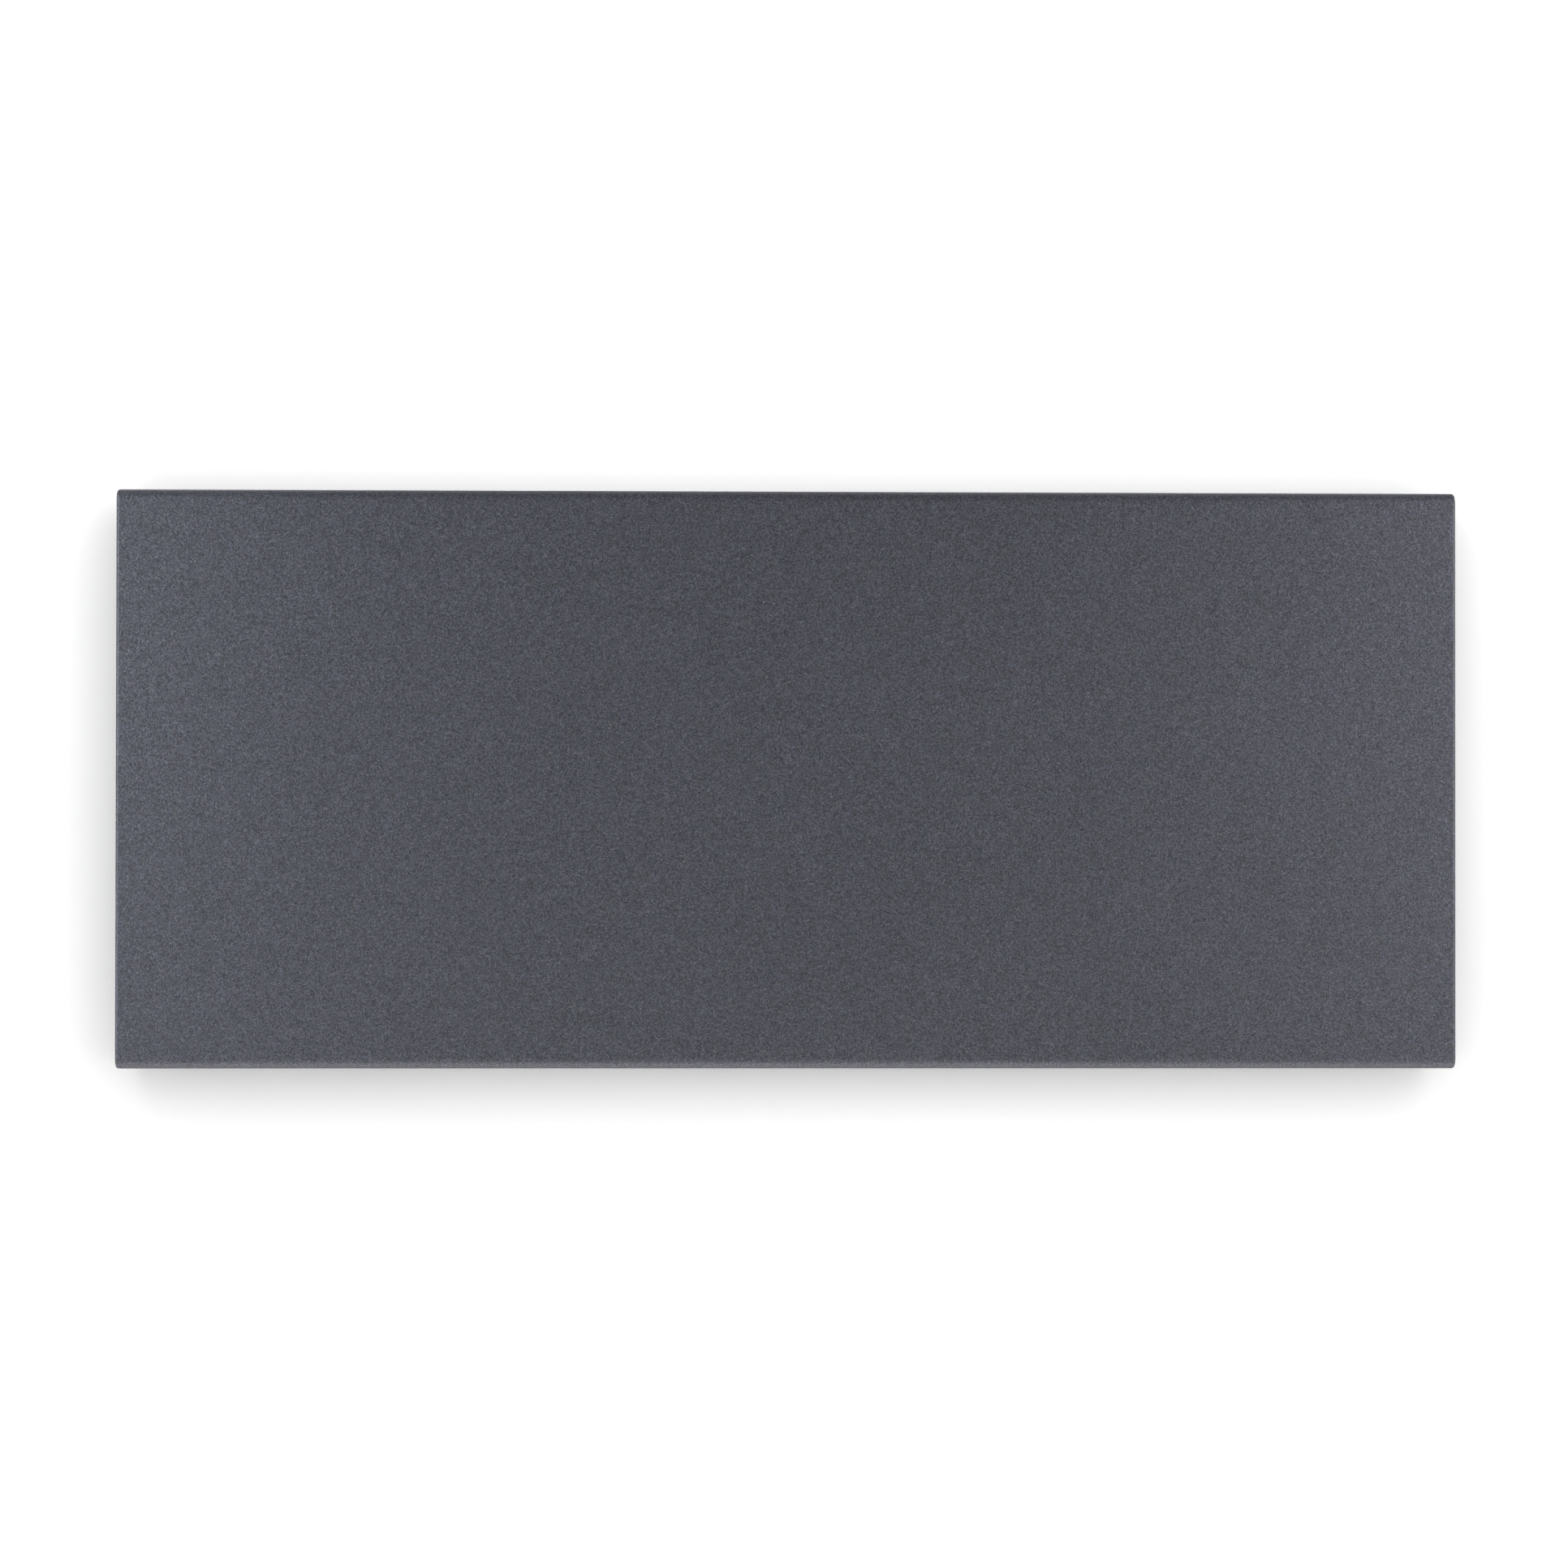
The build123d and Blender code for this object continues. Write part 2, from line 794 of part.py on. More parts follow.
def partition_screw_places():
    x = partition_x + partition_foot / 2
    return [(x, -partition_screw_z), (x, partition_screw_z)]


def grommet(out, z):
    middle = partition_x + partition_sheet / 2
    body = rod_along_x(
        middle - grommet_length / 2, middle + grommet_length / 2, out, z, grommet_radius
    )
    ring = rod_along_x(partition_x, partition_x + partition_sheet, out, z, grommet_radius + overrun)
    ring -= rod_along_x(partition_x, partition_x + partition_sheet, out, z, grommet_groove_radius)
    bore = rod_along_x(middle - grommet_length, middle + grommet_length, out, z, grommet_bore_radius)
    return body - ring - bore


# Cable gland through the rear cover, its nut, the terminal block and the earth screw
gland_from_end = 44
gland_above_bottom = 35
gland_bore_radius = 3.7
gland_thread_radius = 8
gland_flange_radius = 11
gland_flange = 3
gland_dome_radius = 8.5
gland_dome_length = 13
gland_inner_length = 9
nut_across_flats = 22
nut_height = 4
block_from_end = 67
block_width = 34
block_height = 20
block_depth = 16
block_above_bottom = 85
block_bevel = 3.2
pole_pitch = 11
pole_screw_radius = 2.6
pole_hole_radius = 2
earth_from_end = 103
earth_above_bottom = 45
earth_screw_radius = 2
earth_head_radius = 4
earth_head_height = 2.4
earth_tag_radius = 4.6
earth_tag = 0.8
earth_barrel_radius = 1.9
earth_barrel_length = 5
gland_x = half_width - gland_from_end
gland_z = -half_height + gland_above_bottom
block_x = half_width - block_from_end
block_top = -half_height + block_above_bottom
pole_out = rear_inner + block_depth / 2
earth_x = half_width - earth_from_end
earth_z = -half_height + earth_above_bottom
earth_tag_barrel_z = earth_z + earth_tag_radius + earth_barrel_length + earth_screw_radius


def cable_gland():
    body = rod_along_y(
        gland_x, wall_gap - gland_flange, rear_inner + gland_inner_length, gland_z,
        gland_thread_radius,
    )
    body += rod_along_y(
        gland_x, wall_gap - gland_flange, wall_gap, gland_z, gland_flange_radius
    )
    dome = rod_along_y(
        gland_x, wall_gap - gland_flange - gland_dome_length, wall_gap - gland_flange, gland_z,
        gland_dome_radius,
    )
    dome = fillet(dome.edges().sort_by(Axis.Y)[-1], gland_flange)
    bore = rod_along_y(gland_x, -overrun, overall_depth, gland_z, gland_bore_radius)
    return body + dome - bore


def gland_nut():
    place = Plane(origin=(gland_x, -rear_inner, gland_z), x_dir=(1, 0, 0), z_dir=(0, -1, 0))
    hexagon = RegularPolygon(nut_across_flats / 2, side_count=6, major_radius=False)
    body = extrude(place * hexagon, amount=nut_height)
    return body - rod_along_y(
        gland_x, rear_inner - overrun, rear_inner + nut_height + overrun, gland_z,
        gland_thread_radius + running_gap,
    )


def pole_xs():
    return [block_x + step * pole_pitch for step in (-1, 0, 1)]


def terminal_block():
    body = block(
        block_x - block_width / 2, block_x + block_width / 2,
        rear_inner, rear_inner + block_depth, block_top - block_height, block_top,
    )
    front_edges = body.edges().filter_by(Axis.X).group_by(Axis.Y)[0]
    body = chamfer(front_edges, block_bevel)
    screw_z = block_top - block_height / 2
    for x in pole_xs():
        body -= rod_along_y(
            x, rear_inner + block_depth / 2, rear_inner + block_depth + overrun, screw_z,
            pole_screw_radius,
        )
        body -= rod_along_z(
            x, pole_out, block_top - block_height - overrun, block_top - block_height / 2,
            pole_hole_radius,
        )
    return body


# Earth screw through a ring tag, driven into the rear cover
def earth_screw():
    seat = rear_inner + earth_tag
    screw = sheet_screw(
        earth_x, seat, earth_z, earth_tag + sheet + earth_tag,
        earth_screw_radius, earth_head_radius, earth_head_height,
    )
    tag = rod_along_y(earth_x, rear_inner, seat, earth_z, earth_tag_radius)
    tag += block(
        earth_x - earth_barrel_radius, earth_x + earth_barrel_radius, rear_inner, seat,
        earth_z, earth_tag_barrel_z,
    )
    tag += rod_along_z(
        earth_x, rear_inner + earth_barrel_radius, earth_tag_barrel_z - earth_barrel_length,
        earth_tag_barrel_z, earth_barrel_radius,
    )
    tag -= rod_along_y(earth_x, rear_inner - overrun, seat + overrun, earth_z, earth_screw_radius)
    tag -= rod_along_y(
        earth_x, seat, rear_inner + overrun, earth_z, earth_head_radius + running_gap
    )
    return screw, tag


# Rocker switch in the right end cap
switch_setback = 28
switch_above_bottom = 75
switch_body_width = 13
switch_body_height = 19.2
switch_body_depth = 18
switch_wall = 1.2
switch_back = 1.5
bezel_width = 16
bezel_height = 22
bezel_thickness = 1.2
bezel_radius = 1.5
rocker_side_gap = 0.5
rocker_half_height = 7.4
rocker_pivot_depth = 1.9
rocker_rise = 2.2
rocker_angle = 7
trunnion_radius = 1.5
trunnion_depth = 1
blade_width = 4.8
blade_thickness = 0.8
blade_length = 8
blade_step = 5
switch_out = front_inner - switch_setback
switch_z = -half_height + switch_above_bottom
switch_face = cap_outer + bezel_thickness
switch_rear = cap_outer - switch_body_depth
pivot_x = switch_face - rocker_pivot_depth
rocker_half_width = switch_body_width / 2 - switch_wall - rocker_side_gap


def end_cap():
    body = block(cap_inner, cap_outer, cap_back, cap_front, -cap_top, cap_top)
    long_edges = body.edges().filter_by(Axis.X).group_by(Axis.Y)
    body = fillet(long_edges[0], front_bend_radius)
    long_edges = body.edges().filter_by(Axis.X).group_by(Axis.Y)
    body = fillet(long_edges[-1], rear_bend_radius)
    body = fillet(body.faces().sort_by(Axis.X)[-1].edges(), cap_rim_radius)
    hollow = block(
        cap_inner - overrun, cap_outer - cap_wall, cap_back + cap_wall, cap_front - cap_wall,
        -cap_top + cap_wall, cap_top - cap_wall,
    )
    hollow = fillet(
        hollow.edges().filter_by(Axis.X).group_by(Axis.Y)[0], front_bend_radius - cap_wall
    )
    body -= hollow
    for side in (-1, 1):
        level = side * cap_screw_z
        body += block(
            cap_screw_x - cap_boss_width / 2, cap_outer - cap_wall,
            cap_back + cap_wall, cap_back + cap_wall + cap_boss_depth,
            level - side * cap_boss_width / 2, level + side * cap_boss_width / 2,
        )
        body -= rod_along_y(
            cap_screw_x, cap_back - overrun, cap_back + cap_wall + cap_boss_depth, level,
            rear_screw_radius,
        )
    body += block(
        cap_screw_x - cap_boss_width / 2, cap_outer - cap_wall,
        panel_screw_out - cap_boss_width / 2, panel_screw_out + cap_boss_width / 2,
        -cap_top + cap_wall, -cap_top + cap_wall + cap_boss_width,
    )
    return body - panel_screw(small_gap)


def right_end_cap():
    return end_cap() - block(
        cap_outer - cap_depth, cap_outer + overrun,
        switch_out - switch_body_width / 2 - small_gap,
        switch_out + switch_body_width / 2 + small_gap,
        switch_z - switch_body_height / 2 - small_gap,
        switch_z + switch_body_height / 2 + small_gap,
    )


def rocker_housing():
    body = block(
        switch_rear, cap_outer, switch_out - switch_body_width / 2,
        switch_out + switch_body_width / 2,
        switch_z - switch_body_height / 2, switch_z + switch_body_height / 2,
    )
    bezel = block(
        cap_outer, switch_face, switch_out - bezel_width / 2, switch_out + bezel_width / 2,
        switch_z - bezel_height / 2, switch_z + bezel_height / 2,
    )
    body += fillet(bezel.edges().filter_by(Axis.X), bezel_radius)
    body -= block(
        switch_rear + switch_back, switch_face + overrun,
        switch_out - switch_body_width / 2 + switch_wall,
        switch_out + switch_body_width / 2 - switch_wall,
        switch_z - switch_body_height / 2 + switch_wall,
        switch_z + switch_body_height / 2 - switch_wall,
    )
    reach = rocker_half_width + rocker_side_gap + trunnion_depth + running_gap
    return body - rod_along_y(
        pivot_x, switch_out - reach, switch_out + reach, switch_z, trunnion_radius + running_gap
    )


# Rocker: a round-backed block with a shallow V face, drawn level and turned to its rest angle
def rocker_button():
    crest = rocker_rise + rocker_half_height * math.tan(math.radians(rocker_angle))
    swing = math.hypot(crest, rocker_half_height)
    with BuildSketch() as outline:
        with BuildLine():
            Line((rocker_rise, 0), (crest, rocker_half_height))
            ThreePointArc((crest, rocker_half_height), (0, swing), (-crest, rocker_half_height))
            Line((-crest, rocker_half_height), (-crest, -rocker_half_height))
            ThreePointArc((-crest, -rocker_half_height), (0, -swing), (crest, -rocker_half_height))
            Line((crest, -rocker_half_height), (rocker_rise, 0))
        make_face()
    plane = Plane(origin=(0, rocker_half_width, 0), x_dir=(1, 0, 0), z_dir=(0, -1, 0))
    body = extrude(plane * outline.sketch, amount=2 * rocker_half_width)
    reach = rocker_half_width + rocker_side_gap + trunnion_depth
    body += Rot(90, 0, 0) * Cylinder(trunnion_radius, 2 * reach)
    return Pos(pivot_x, -switch_out, switch_z) * Rot(0, rocker_angle, 0) * body


def rocker_blades():
    return [
        block(
            switch_rear - blade_length, switch_rear,
            switch_out - blade_width / 2, switch_out + blade_width / 2,
            switch_z + step - blade_thickness / 2, switch_z + step + blade_thickness / 2,
        )
        for step in (blade_step, -blade_step)
    ]


# Control unit under the top at the right end
control_from_end = 112
control_rim = 3
module_cap_gap = 2.5
module_flange_gap = 2
module_wall = 1.5
module_height = 79
module_split_drop = 9
module_foot = 10
module_foot_rise = 19
wire_slot_back_gap = 7
wire_slot_front_gap = 3.5
wire_slot_inset = 8
window_from_left = 28
window_width = 34
window_depth = 14
window_lip = 1.5
window_lip_drop = 1.5
button_from_left = 58
button_pitch = 13
button_radius = 4.3
button_collar_radius = 5.4
button_collar = 1
button_stem_radius = 2
button_proud = 0.6
button_crown_radius = 0.4
stem_drop = 7
board_drop = 14
board = 1.6
board_gap = 0.5
display_half_width = 16
display_half_depth = 6
tact_size = 6
tact_height = 3.5
plunger_radius = 1.7
plunger_height = 0.8
power_board_rise = 6
power_board_drop = 17
fascia_top = half_height
fascia_bottom = half_height - sheet
fascia_back = rear_flange_end + sheet_gap
fascia_front = flange_end - sheet_gap
control_left = half_width - control_from_end
module_left = control_left + control_rim
module_right = cap_inner - module_cap_gap
module_back = rear_flange_end + module_flange_gap
module_front = flange_end - module_flange_gap
module_middle = (module_back + module_front) / 2
module_bottom = half_height - module_height
module_split_z = half_height - module_split_drop
module_foot_z = module_bottom + module_foot_rise
wire_slot_back = module_back + wire_slot_back_gap
wire_slot_front = module_front - wire_slot_front_gap
window_x = module_left + window_from_left
stem_bottom_z = half_height - stem_drop
board_z = half_height - board_drop
power_board_front = module_front - module_wall - board_gap
power_board_bottom = module_bottom + power_board_rise
power_board_top = half_height - power_board_drop
button_names = ("minus_button", "plus_button", "ok_button")
button_first_x = module_left + button_from_left
button_xs = [button_first_x + step * button_pitch for step in range(len(button_names))]
board_left = module_left + module_wall + board_gap
board_right = module_right - module_wall - board_gap


def control_fascia():
    body = block(
        control_left, cap_outer, fascia_back, fascia_front, fascia_bottom, fascia_top
    )
    skirt = block(
        module_left, module_right, module_back, module_front, module_split_z, fascia_bottom
    )
    skirt -= block(
        module_left + module_wall, module_right - module_wall,
        module_back + module_wall, module_front - module_wall,
        module_split_z - overrun, fascia_bottom + overrun,
    )
    body += skirt
    body -= block(
        window_x - window_width / 2 - small_gap, window_x + window_width / 2 + small_gap,
        module_middle - window_depth / 2 - small_gap,
        module_middle + window_depth / 2 + small_gap,
        fascia_bottom - overrun, fascia_top + overrun,
    )
    for x in button_xs:
        body -= rod_along_z(
            x, module_middle, fascia_bottom - sheet, fascia_top + overrun,
            button_radius + button_gap,
        )
    return body


def control_housing():
    body = block(
        module_left, module_right, module_back, module_front, module_bottom, module_split_z
    )
    body -= block(
        module_left + module_wall, module_right - module_wall,
        module_back + module_wall, module_front - module_wall,
        module_bottom + module_wall, module_split_z + overrun,
    )
    body -= block(
        module_left + wire_slot_inset, module_right - wire_slot_inset,
        wire_slot_back, wire_slot_front,
        module_bottom - overrun, module_bottom + module_wall + overrun,
    )
    for x in module_foot_xs():
        body += block(
            x - module_foot / 2, x + module_foot / 2, rear_inner, module_back,
            module_foot_z - module_foot / 2, module_foot_z + module_foot / 2,
        )
        body -= rod_along_y(
            x, rear_inner - overrun, module_back, module_foot_z, rear_screw_radius
        )
    return body


def module_foot_xs():
    return (module_left + module_foot, module_right - module_foot)


def display_window():
    body = block(
        window_x - window_width / 2, window_x + window_width / 2,
        module_middle - window_depth / 2, module_middle + window_depth / 2,
        fascia_bottom - window_lip_drop, fascia_top,
    )
    return body + block(
        window_x - window_width / 2 - window_lip, window_x + window_width / 2 + window_lip,
        module_middle - window_depth / 2 - window_lip,
        module_middle + window_depth / 2 + window_lip,
        fascia_bottom - window_lip_drop, fascia_bottom,
    )


def press_button(x):
    crown_top = fascia_top + button_proud
    collar_top = fascia_bottom - rest_gap
    cap = rod_along_z(x, module_middle, collar_top - button_collar, crown_top, button_radius)
    cap = fillet(cap.edges().sort_by(Axis.Z)[-1], button_crown_radius)
    cap += rod_along_z(
        x, module_middle, collar_top - button_collar, collar_top, button_collar_radius
    )
    return cap + rod_along_z(
        x, module_middle, stem_bottom_z, collar_top - button_collar, button_stem_radius
    )


def display_board():
    return block(
        board_left, board_right, module_back + module_wall + board_gap,
        module_front - module_wall - board_gap, board_z, board_z + board,
    )


def display_module():
    return block(
        window_x - display_half_width, window_x + display_half_width,
        module_middle - display_half_depth, module_middle + display_half_depth,
        board_z + board, fascia_bottom - window_lip_drop - rest_gap,
    )


def tact_switch(x):
    base = board_z + board
    body = block(
        x - tact_size / 2, x + tact_size / 2,
        module_middle - tact_size / 2, module_middle + tact_size / 2,
        base, base + tact_height,
    )
    top = base + tact_height
    return body + rod_along_z(x, module_middle, top, top + plunger_height, plunger_radius)


# Power board, upright in the housing, with its parts on the wall side
power_board_back = power_board_front - board
connector_inset = 8
connector_depth = 9
connector_height = 9
connector_bevel = 1.5
connector_first = 22
connector_pitch = 11.5
relay_from_left = 16
relay_width = 19
relay_depth = 12
relay_height = 15
parts_rise = 20
supply_from_left = 46
supply_width = 22
supply_depth = 13
supply_height = 20
capacitor_from_left = 72
capacitor_radius = 5
wireless_from_left = 76
wireless_width = 16
wireless_depth = 2.5
wireless_rise = 40
wireless_height = 20
connector_out = power_board_back - connector_depth / 2
connector_xs = [module_left + connector_first + step * connector_pitch for step in range(5)]
relay_x = module_left + relay_from_left
supply_x = module_left + supply_from_left
capacitor_x = module_left + capacitor_from_left
wireless_x = module_left + wireless_from_left
parts_z = module_bottom + parts_rise
wireless_z = module_bottom + wireless_rise


def power_board():
    return block(
        board_left, board_right, power_board_back, power_board_front,
        power_board_bottom, power_board_top,
    )


def board_connectors():
    body = block(
        board_left + connector_inset, board_right - connector_inset,
        power_board_back - connector_depth, power_board_back,
        power_board_bottom, power_board_bottom + connector_height,
    )
    return chamfer(body.edges().filter_by(Axis.X).group_by(Axis.Y)[-1][:1], connector_bevel)


def relay():
    return block(
        relay_x - relay_width / 2, relay_x + relay_width / 2,
        power_board_back - relay_depth, power_board_back, parts_z, parts_z + relay_height,
    )


def supply_parts():
    body = block(
        supply_x - supply_width / 2, supply_x + supply_width / 2,
        power_board_back - supply_depth, power_board_back, parts_z, parts_z + supply_height,
    )
    capacitor = rod_along_y(
        capacitor_x, power_board_back - supply_depth, power_board_back,
        parts_z + capacitor_radius, capacitor_radius,
    )
    return body, capacitor


def wireless_module():
    return block(
        wireless_x - wireless_width / 2, wireless_x + wireless_width / 2,
        power_board_back - wireless_depth, power_board_back,
        wireless_z, wireless_z + wireless_height,
    )


# Room sensor that stands on the inlet grille in the electrics compartment
sensor_from_end = 37
sensor_base_width = 10
sensor_base_height = 6
sensor_bulb_radius = 2.5
sensor_bulb_height = 5
sensor_x = half_width - sensor_from_end
sensor_out = (rear_flange_end + flange_end) / 2


def room_sensor():
    floor = -half_height + sheet
    body = block(
        sensor_x - sensor_base_width / 2, sensor_x + sensor_base_width / 2,
        sensor_out - sensor_base_width / 2, sensor_out + sensor_base_width / 2,
        floor, floor + sensor_base_height,
    )
    return body + rod_along_z(
        sensor_x, sensor_out, floor + sensor_base_height,
        floor + sensor_base_height + sensor_bulb_height, sensor_bulb_radius,
    )


# Top outlet grille and bottom inlet grille: slotted strips with turned edges
grille_edge_drop = 7
grille_slot_pitch = 8
grille_slot_width = 3.6
grille_slot_length = 17
grille_slots_end_gap = 25
grille_slots_overlap = 4
grille_slots_left = half_width - grille_slots_end_gap
grille_slots_right = partition_x + grille_slots_overlap
grille_back = rear_flange_end + sheet_gap
grille_front = flange_end - sheet_gap


def grille(right_end, right_lip_end):
    top = half_height
    inside = top - sheet
    body = block(-cap_outer, right_end, grille_back, grille_front, inside, top)
    for out in (grille_back, grille_front - sheet):
        body += block(
            -cap_inner + sheet_gap, right_lip_end, out, out + sheet,
            inside - grille_edge_drop, inside,
        )
    count = int((grille_slots_left + grille_slots_right) // grille_slot_pitch)
    slot = SlotOverall(grille_slot_length, grille_slot_width, rotation=90)
    centre = (grille_slots_right - grille_slots_left) / 2
    first = centre - (count - 1) * grille_slot_pitch / 2
    middle = -(grille_back + grille_front) / 2
    low = inside - overrun
    spots = [Pos(first + step * grille_slot_pitch, middle, low) * slot for step in range(count)]
    return body - extrude(Sketch() + spots, amount=2 * overrun)


def outlet_grille():
    right_end = control_left - sheet_gap
    return grille(right_end, right_end)


def inlet_grille():
    strip = grille(cap_outer, cap_inner - sheet_gap)
    return mirror(strip, about=Plane.XY)


# Rear cover: a folded tray with cooling slots
rear_slot_pitch = 12
rear_slot_width = 3.6
rear_slot_length = 26
rear_slots_top_gap = 35
rear_slots_bottom_gap = 125
rear_slots_end_gap = 49
rear_slots_partition_gap = 16
rear_slot_keep_clear = 30
rear_slot_rows = (half_height - rear_slots_top_gap, -half_height + rear_slots_bottom_gap)


def rear_slot_xs():
    count = int((half_width - rear_slots_end_gap) // rear_slot_pitch)
    xs = [step * rear_slot_pitch for step in range(-count, count + 1)]
    xs = [x for x in xs if x < partition_x - rear_slots_partition_gap]
    return [x for x in xs if abs(abs(x) - upright_x) > rear_slot_keep_clear]


def rear_screw_places():
    places = [(x, z) for x in (-cap_screw_x, cap_screw_x) for z in (-cap_screw_z, cap_screw_z)]
    places += partition_screw_places()
    places += shield_foot_places()
    places += [(x, module_foot_z) for x in module_foot_xs()]
    return places


def rear_cover():
    body = block(
        -half_width + cap_inset, half_width - cap_inset, wall_gap, rear_flange_end,
        -half_height, half_height,
    )
    body = fillet(body.edges().filter_by(Axis.X).group_by(Axis.Y)[-1], rear_bend_radius)
    hollow = block(
        -half_width - overrun, half_width + overrun, rear_inner, rear_flange_end + overrun,
        -half_height + sheet, half_height - sheet,
    )
    body -= fillet(hollow.edges().filter_by(Axis.X).group_by(Axis.Y)[-1], rear_bend_radius - sheet)
    slot = SlotOverall(rear_slot_length, rear_slot_width, rotation=90)
    spots = [Pos(x, z) * slot for z in rear_slot_rows for x in rear_slot_xs()]
    body -= front_profile(Sketch() + spots, wall_gap - overrun, rear_inner + overrun)
    for x, z in rear_screw_places():
        body -= rod_along_y(x, wall_gap - overrun, rear_inner + overrun, z, rear_screw_radius)
    for side in (-1, 1):
        for x, z in hook_rivet_places():
            body -= rod_along_y(side * x, wall_gap - overrun, rear_inner + overrun, z, rivet_radius)
        for x, z in clip_rivet_places():
            body -= rod_along_y(
                side * x, wall_gap - overrun, rear_inner + overrun, z, clip_rivet_radius
            )
    body -= rod_along_y(
        gland_x, wall_gap - overrun, rear_inner + overrun, gland_z,
        gland_thread_radius + running_gap,
    )
    return body - rod_along_y(
        earth_x, wall_gap - overrun, rear_inner + overrun, earth_z, earth_screw_radius
    )


# Screw with its head on the wall side of the rear cover
def rear_screw(x, z):
    body = rod_along_y(x, wall_gap, wall_gap + rear_screw_length, z, rear_screw_radius)
    head = rod_along_y(
        x, wall_gap - rear_screw_head_height, wall_gap, z, rear_screw_head_radius
    )
    body += fillet(head.edges().sort_by(Axis.Y)[-1], rear_screw_head_height / 2)
    return body - block(
        x - rear_screw_head_radius, x + rear_screw_head_radius,
        wall_gap - rear_screw_head_height - overrun,
        wall_gap - rear_screw_head_height + screw_slot_depth,
        z - screw_slot_width / 2, z + screw_slot_width / 2,
    )


# Insulated wires: straight runs joined by arcs as large as the runs allow
bend_share = 0.45
sensor_lead_radius = 0.9


def corner_radii(points):
    radii = []
    for before, corner, after in zip(points, points[1:], points[2:]):
        first = corner - before
        second = after - corner
        half_turn = math.radians(first.get_angle(second)) / 2
        radii.append(bend_share * min(first.length, second.length) / math.tan(half_turn))
    return radii


def wire(name, radius, *places):
    points = [Vector(x, -out, z) for x, out, z in places]
    radii = corner_radii(points)
    print(name, "least bend radius", round(min(radii), 1))
    path = FilletPolyline(*points, radius=radii)
    section = Plane(origin=path @ 0, z_dir=path % 0) * Circle(radius)
    return sweep(section, path=path)


earth_pole_x, neutral_pole_x, live_pole_x = pole_xs()
blade_end = switch_rear - blade_length
element_lead_end = tube_right + terminal_length
sensor_top = -half_height + sheet + sensor_base_height + sensor_bulb_height


# Straight runs and steps that the wires take between the pieces they join
terminal_run = 18
connector_run = 27
lead_step = 4
lead_forward = 11
partition_run = 20
switch_run = 15
lead_rise = 25
column_out = switch_out + lead_forward
connector_run_z = power_board_bottom - connector_run
cutout_connector, element_connector, neutral_connector, live_connector, sensor_connector = connector_xs


def live_wires():
    turn_x = blade_end - switch_run
    top = block_top + terminal_run
    inlet = wire(
        "live inlet wire", lead_radius,
        (live_pole_x, pole_out, block_top), (live_pole_x, pole_out, top),
        (turn_x, switch_out, top), (turn_x, switch_out, switch_z + blade_step),
        (blade_end, switch_out, switch_z + blade_step),
    )
    low = switch_z - blade_step
    switched = wire(
        "switched live wire", lead_radius,
        (blade_end, switch_out, low), (blade_end - lead_forward, switch_out, low),
        (turn_x, column_out, low + terminal_run), (turn_x + lead_step, column_out, 0),
        (live_connector, connector_out, connector_run_z),
        (live_connector, connector_out, power_board_bottom),
    )
    return inlet, switched


def neutral_wire():
    return wire(
        "neutral wire", lead_radius,
        (neutral_pole_x, pole_out, block_top), (neutral_pole_x, pole_out, block_top + lead_rise),
        (neutral_pole_x - lead_step, pole_out + lead_step, 0),
        (neutral_connector, connector_out, connector_run_z),
        (neutral_connector, connector_out, power_board_bottom),
    )


def earth_wire():
    barrel_out = rear_inner + earth_barrel_radius
    crest = block_top + terminal_run
    return wire(
        "earth wire", lead_radius,
        (earth_pole_x, pole_out, block_top), (earth_pole_x, pole_out, crest),
        (earth_x, pole_out, crest - lead_step),
        (earth_x, barrel_out, (crest + earth_tag_barrel_z) / 2),
        (earth_x, barrel_out, earth_tag_barrel_z),
    )


# The leads cross from the partition to the cut-out and on to the element's far end, and the long one
# waves a little along the way
cutout_run_share = 0.47
cutout_end_share = 0.23
wave_shares = (0.12, 0.38, 0.62, 0.86)
wave_rises = (12, 16, 11, 15)
wave_set_ins = (3, 5, 4, 5)


def element_leads():
    past = partition_x + partition_run
    right = wire(
        "right element lead", lead_radius,
        (element_lead_end, element_out, element_z), (past, element_out, element_z),
        (past + terminal_run, element_out - lead_step / 2, element_z + lead_rise),
        (element_connector, connector_out, connector_run_z),
        (element_connector, connector_out, power_board_bottom),
    )
    span = partition_x - cutout_x
    cutout = wire(
        "cut-out lead", lead_radius,
        (cutout_connector, connector_out, power_board_bottom),
        (cutout_connector, connector_out, connector_run_z),
        (cutout_connector - lead_step, cutout_lead_out, cutout_lead_z + lead_rise),
        (past, cutout_lead_out, cutout_lead_z),
        (partition_x - partition_run, cutout_lead_out, cutout_lead_z),
        (cutout_x + cutout_run_share * span, cutout_lead_out - lead_step, cutout_lead_z - lead_step),
        (cutout_x + cutout_end_share * span, cutout_blade_out, cutout_z),
        (cutout_x + cutout_blade_reach, cutout_blade_out, cutout_z),
    )
    start_x = cutout_x - cutout_blade_reach - partition_run
    turn_x = tube_left - terminal_length - lead_step - lead_step
    waves = [
        (start_x + share * (turn_x - start_x), cutout_blade_out - set_in, cutout_z + rise)
        for share, set_in, rise in zip(wave_shares, wave_set_ins, wave_rises)
    ]
    left = wire(
        "left element lead", lead_radius,
        (cutout_x - cutout_blade_reach, cutout_blade_out, cutout_z),
        (start_x, cutout_blade_out, cutout_z), *waves,
        (turn_x + lead_step, cutout_blade_out - lead_step / 2, cutout_z - lead_step),
        (turn_x, element_out - lead_step, element_z + lead_rise + lead_forward),
        (turn_x, element_out, element_z), (tube_left - terminal_length, element_out, element_z),
    )
    return right, cutout, left


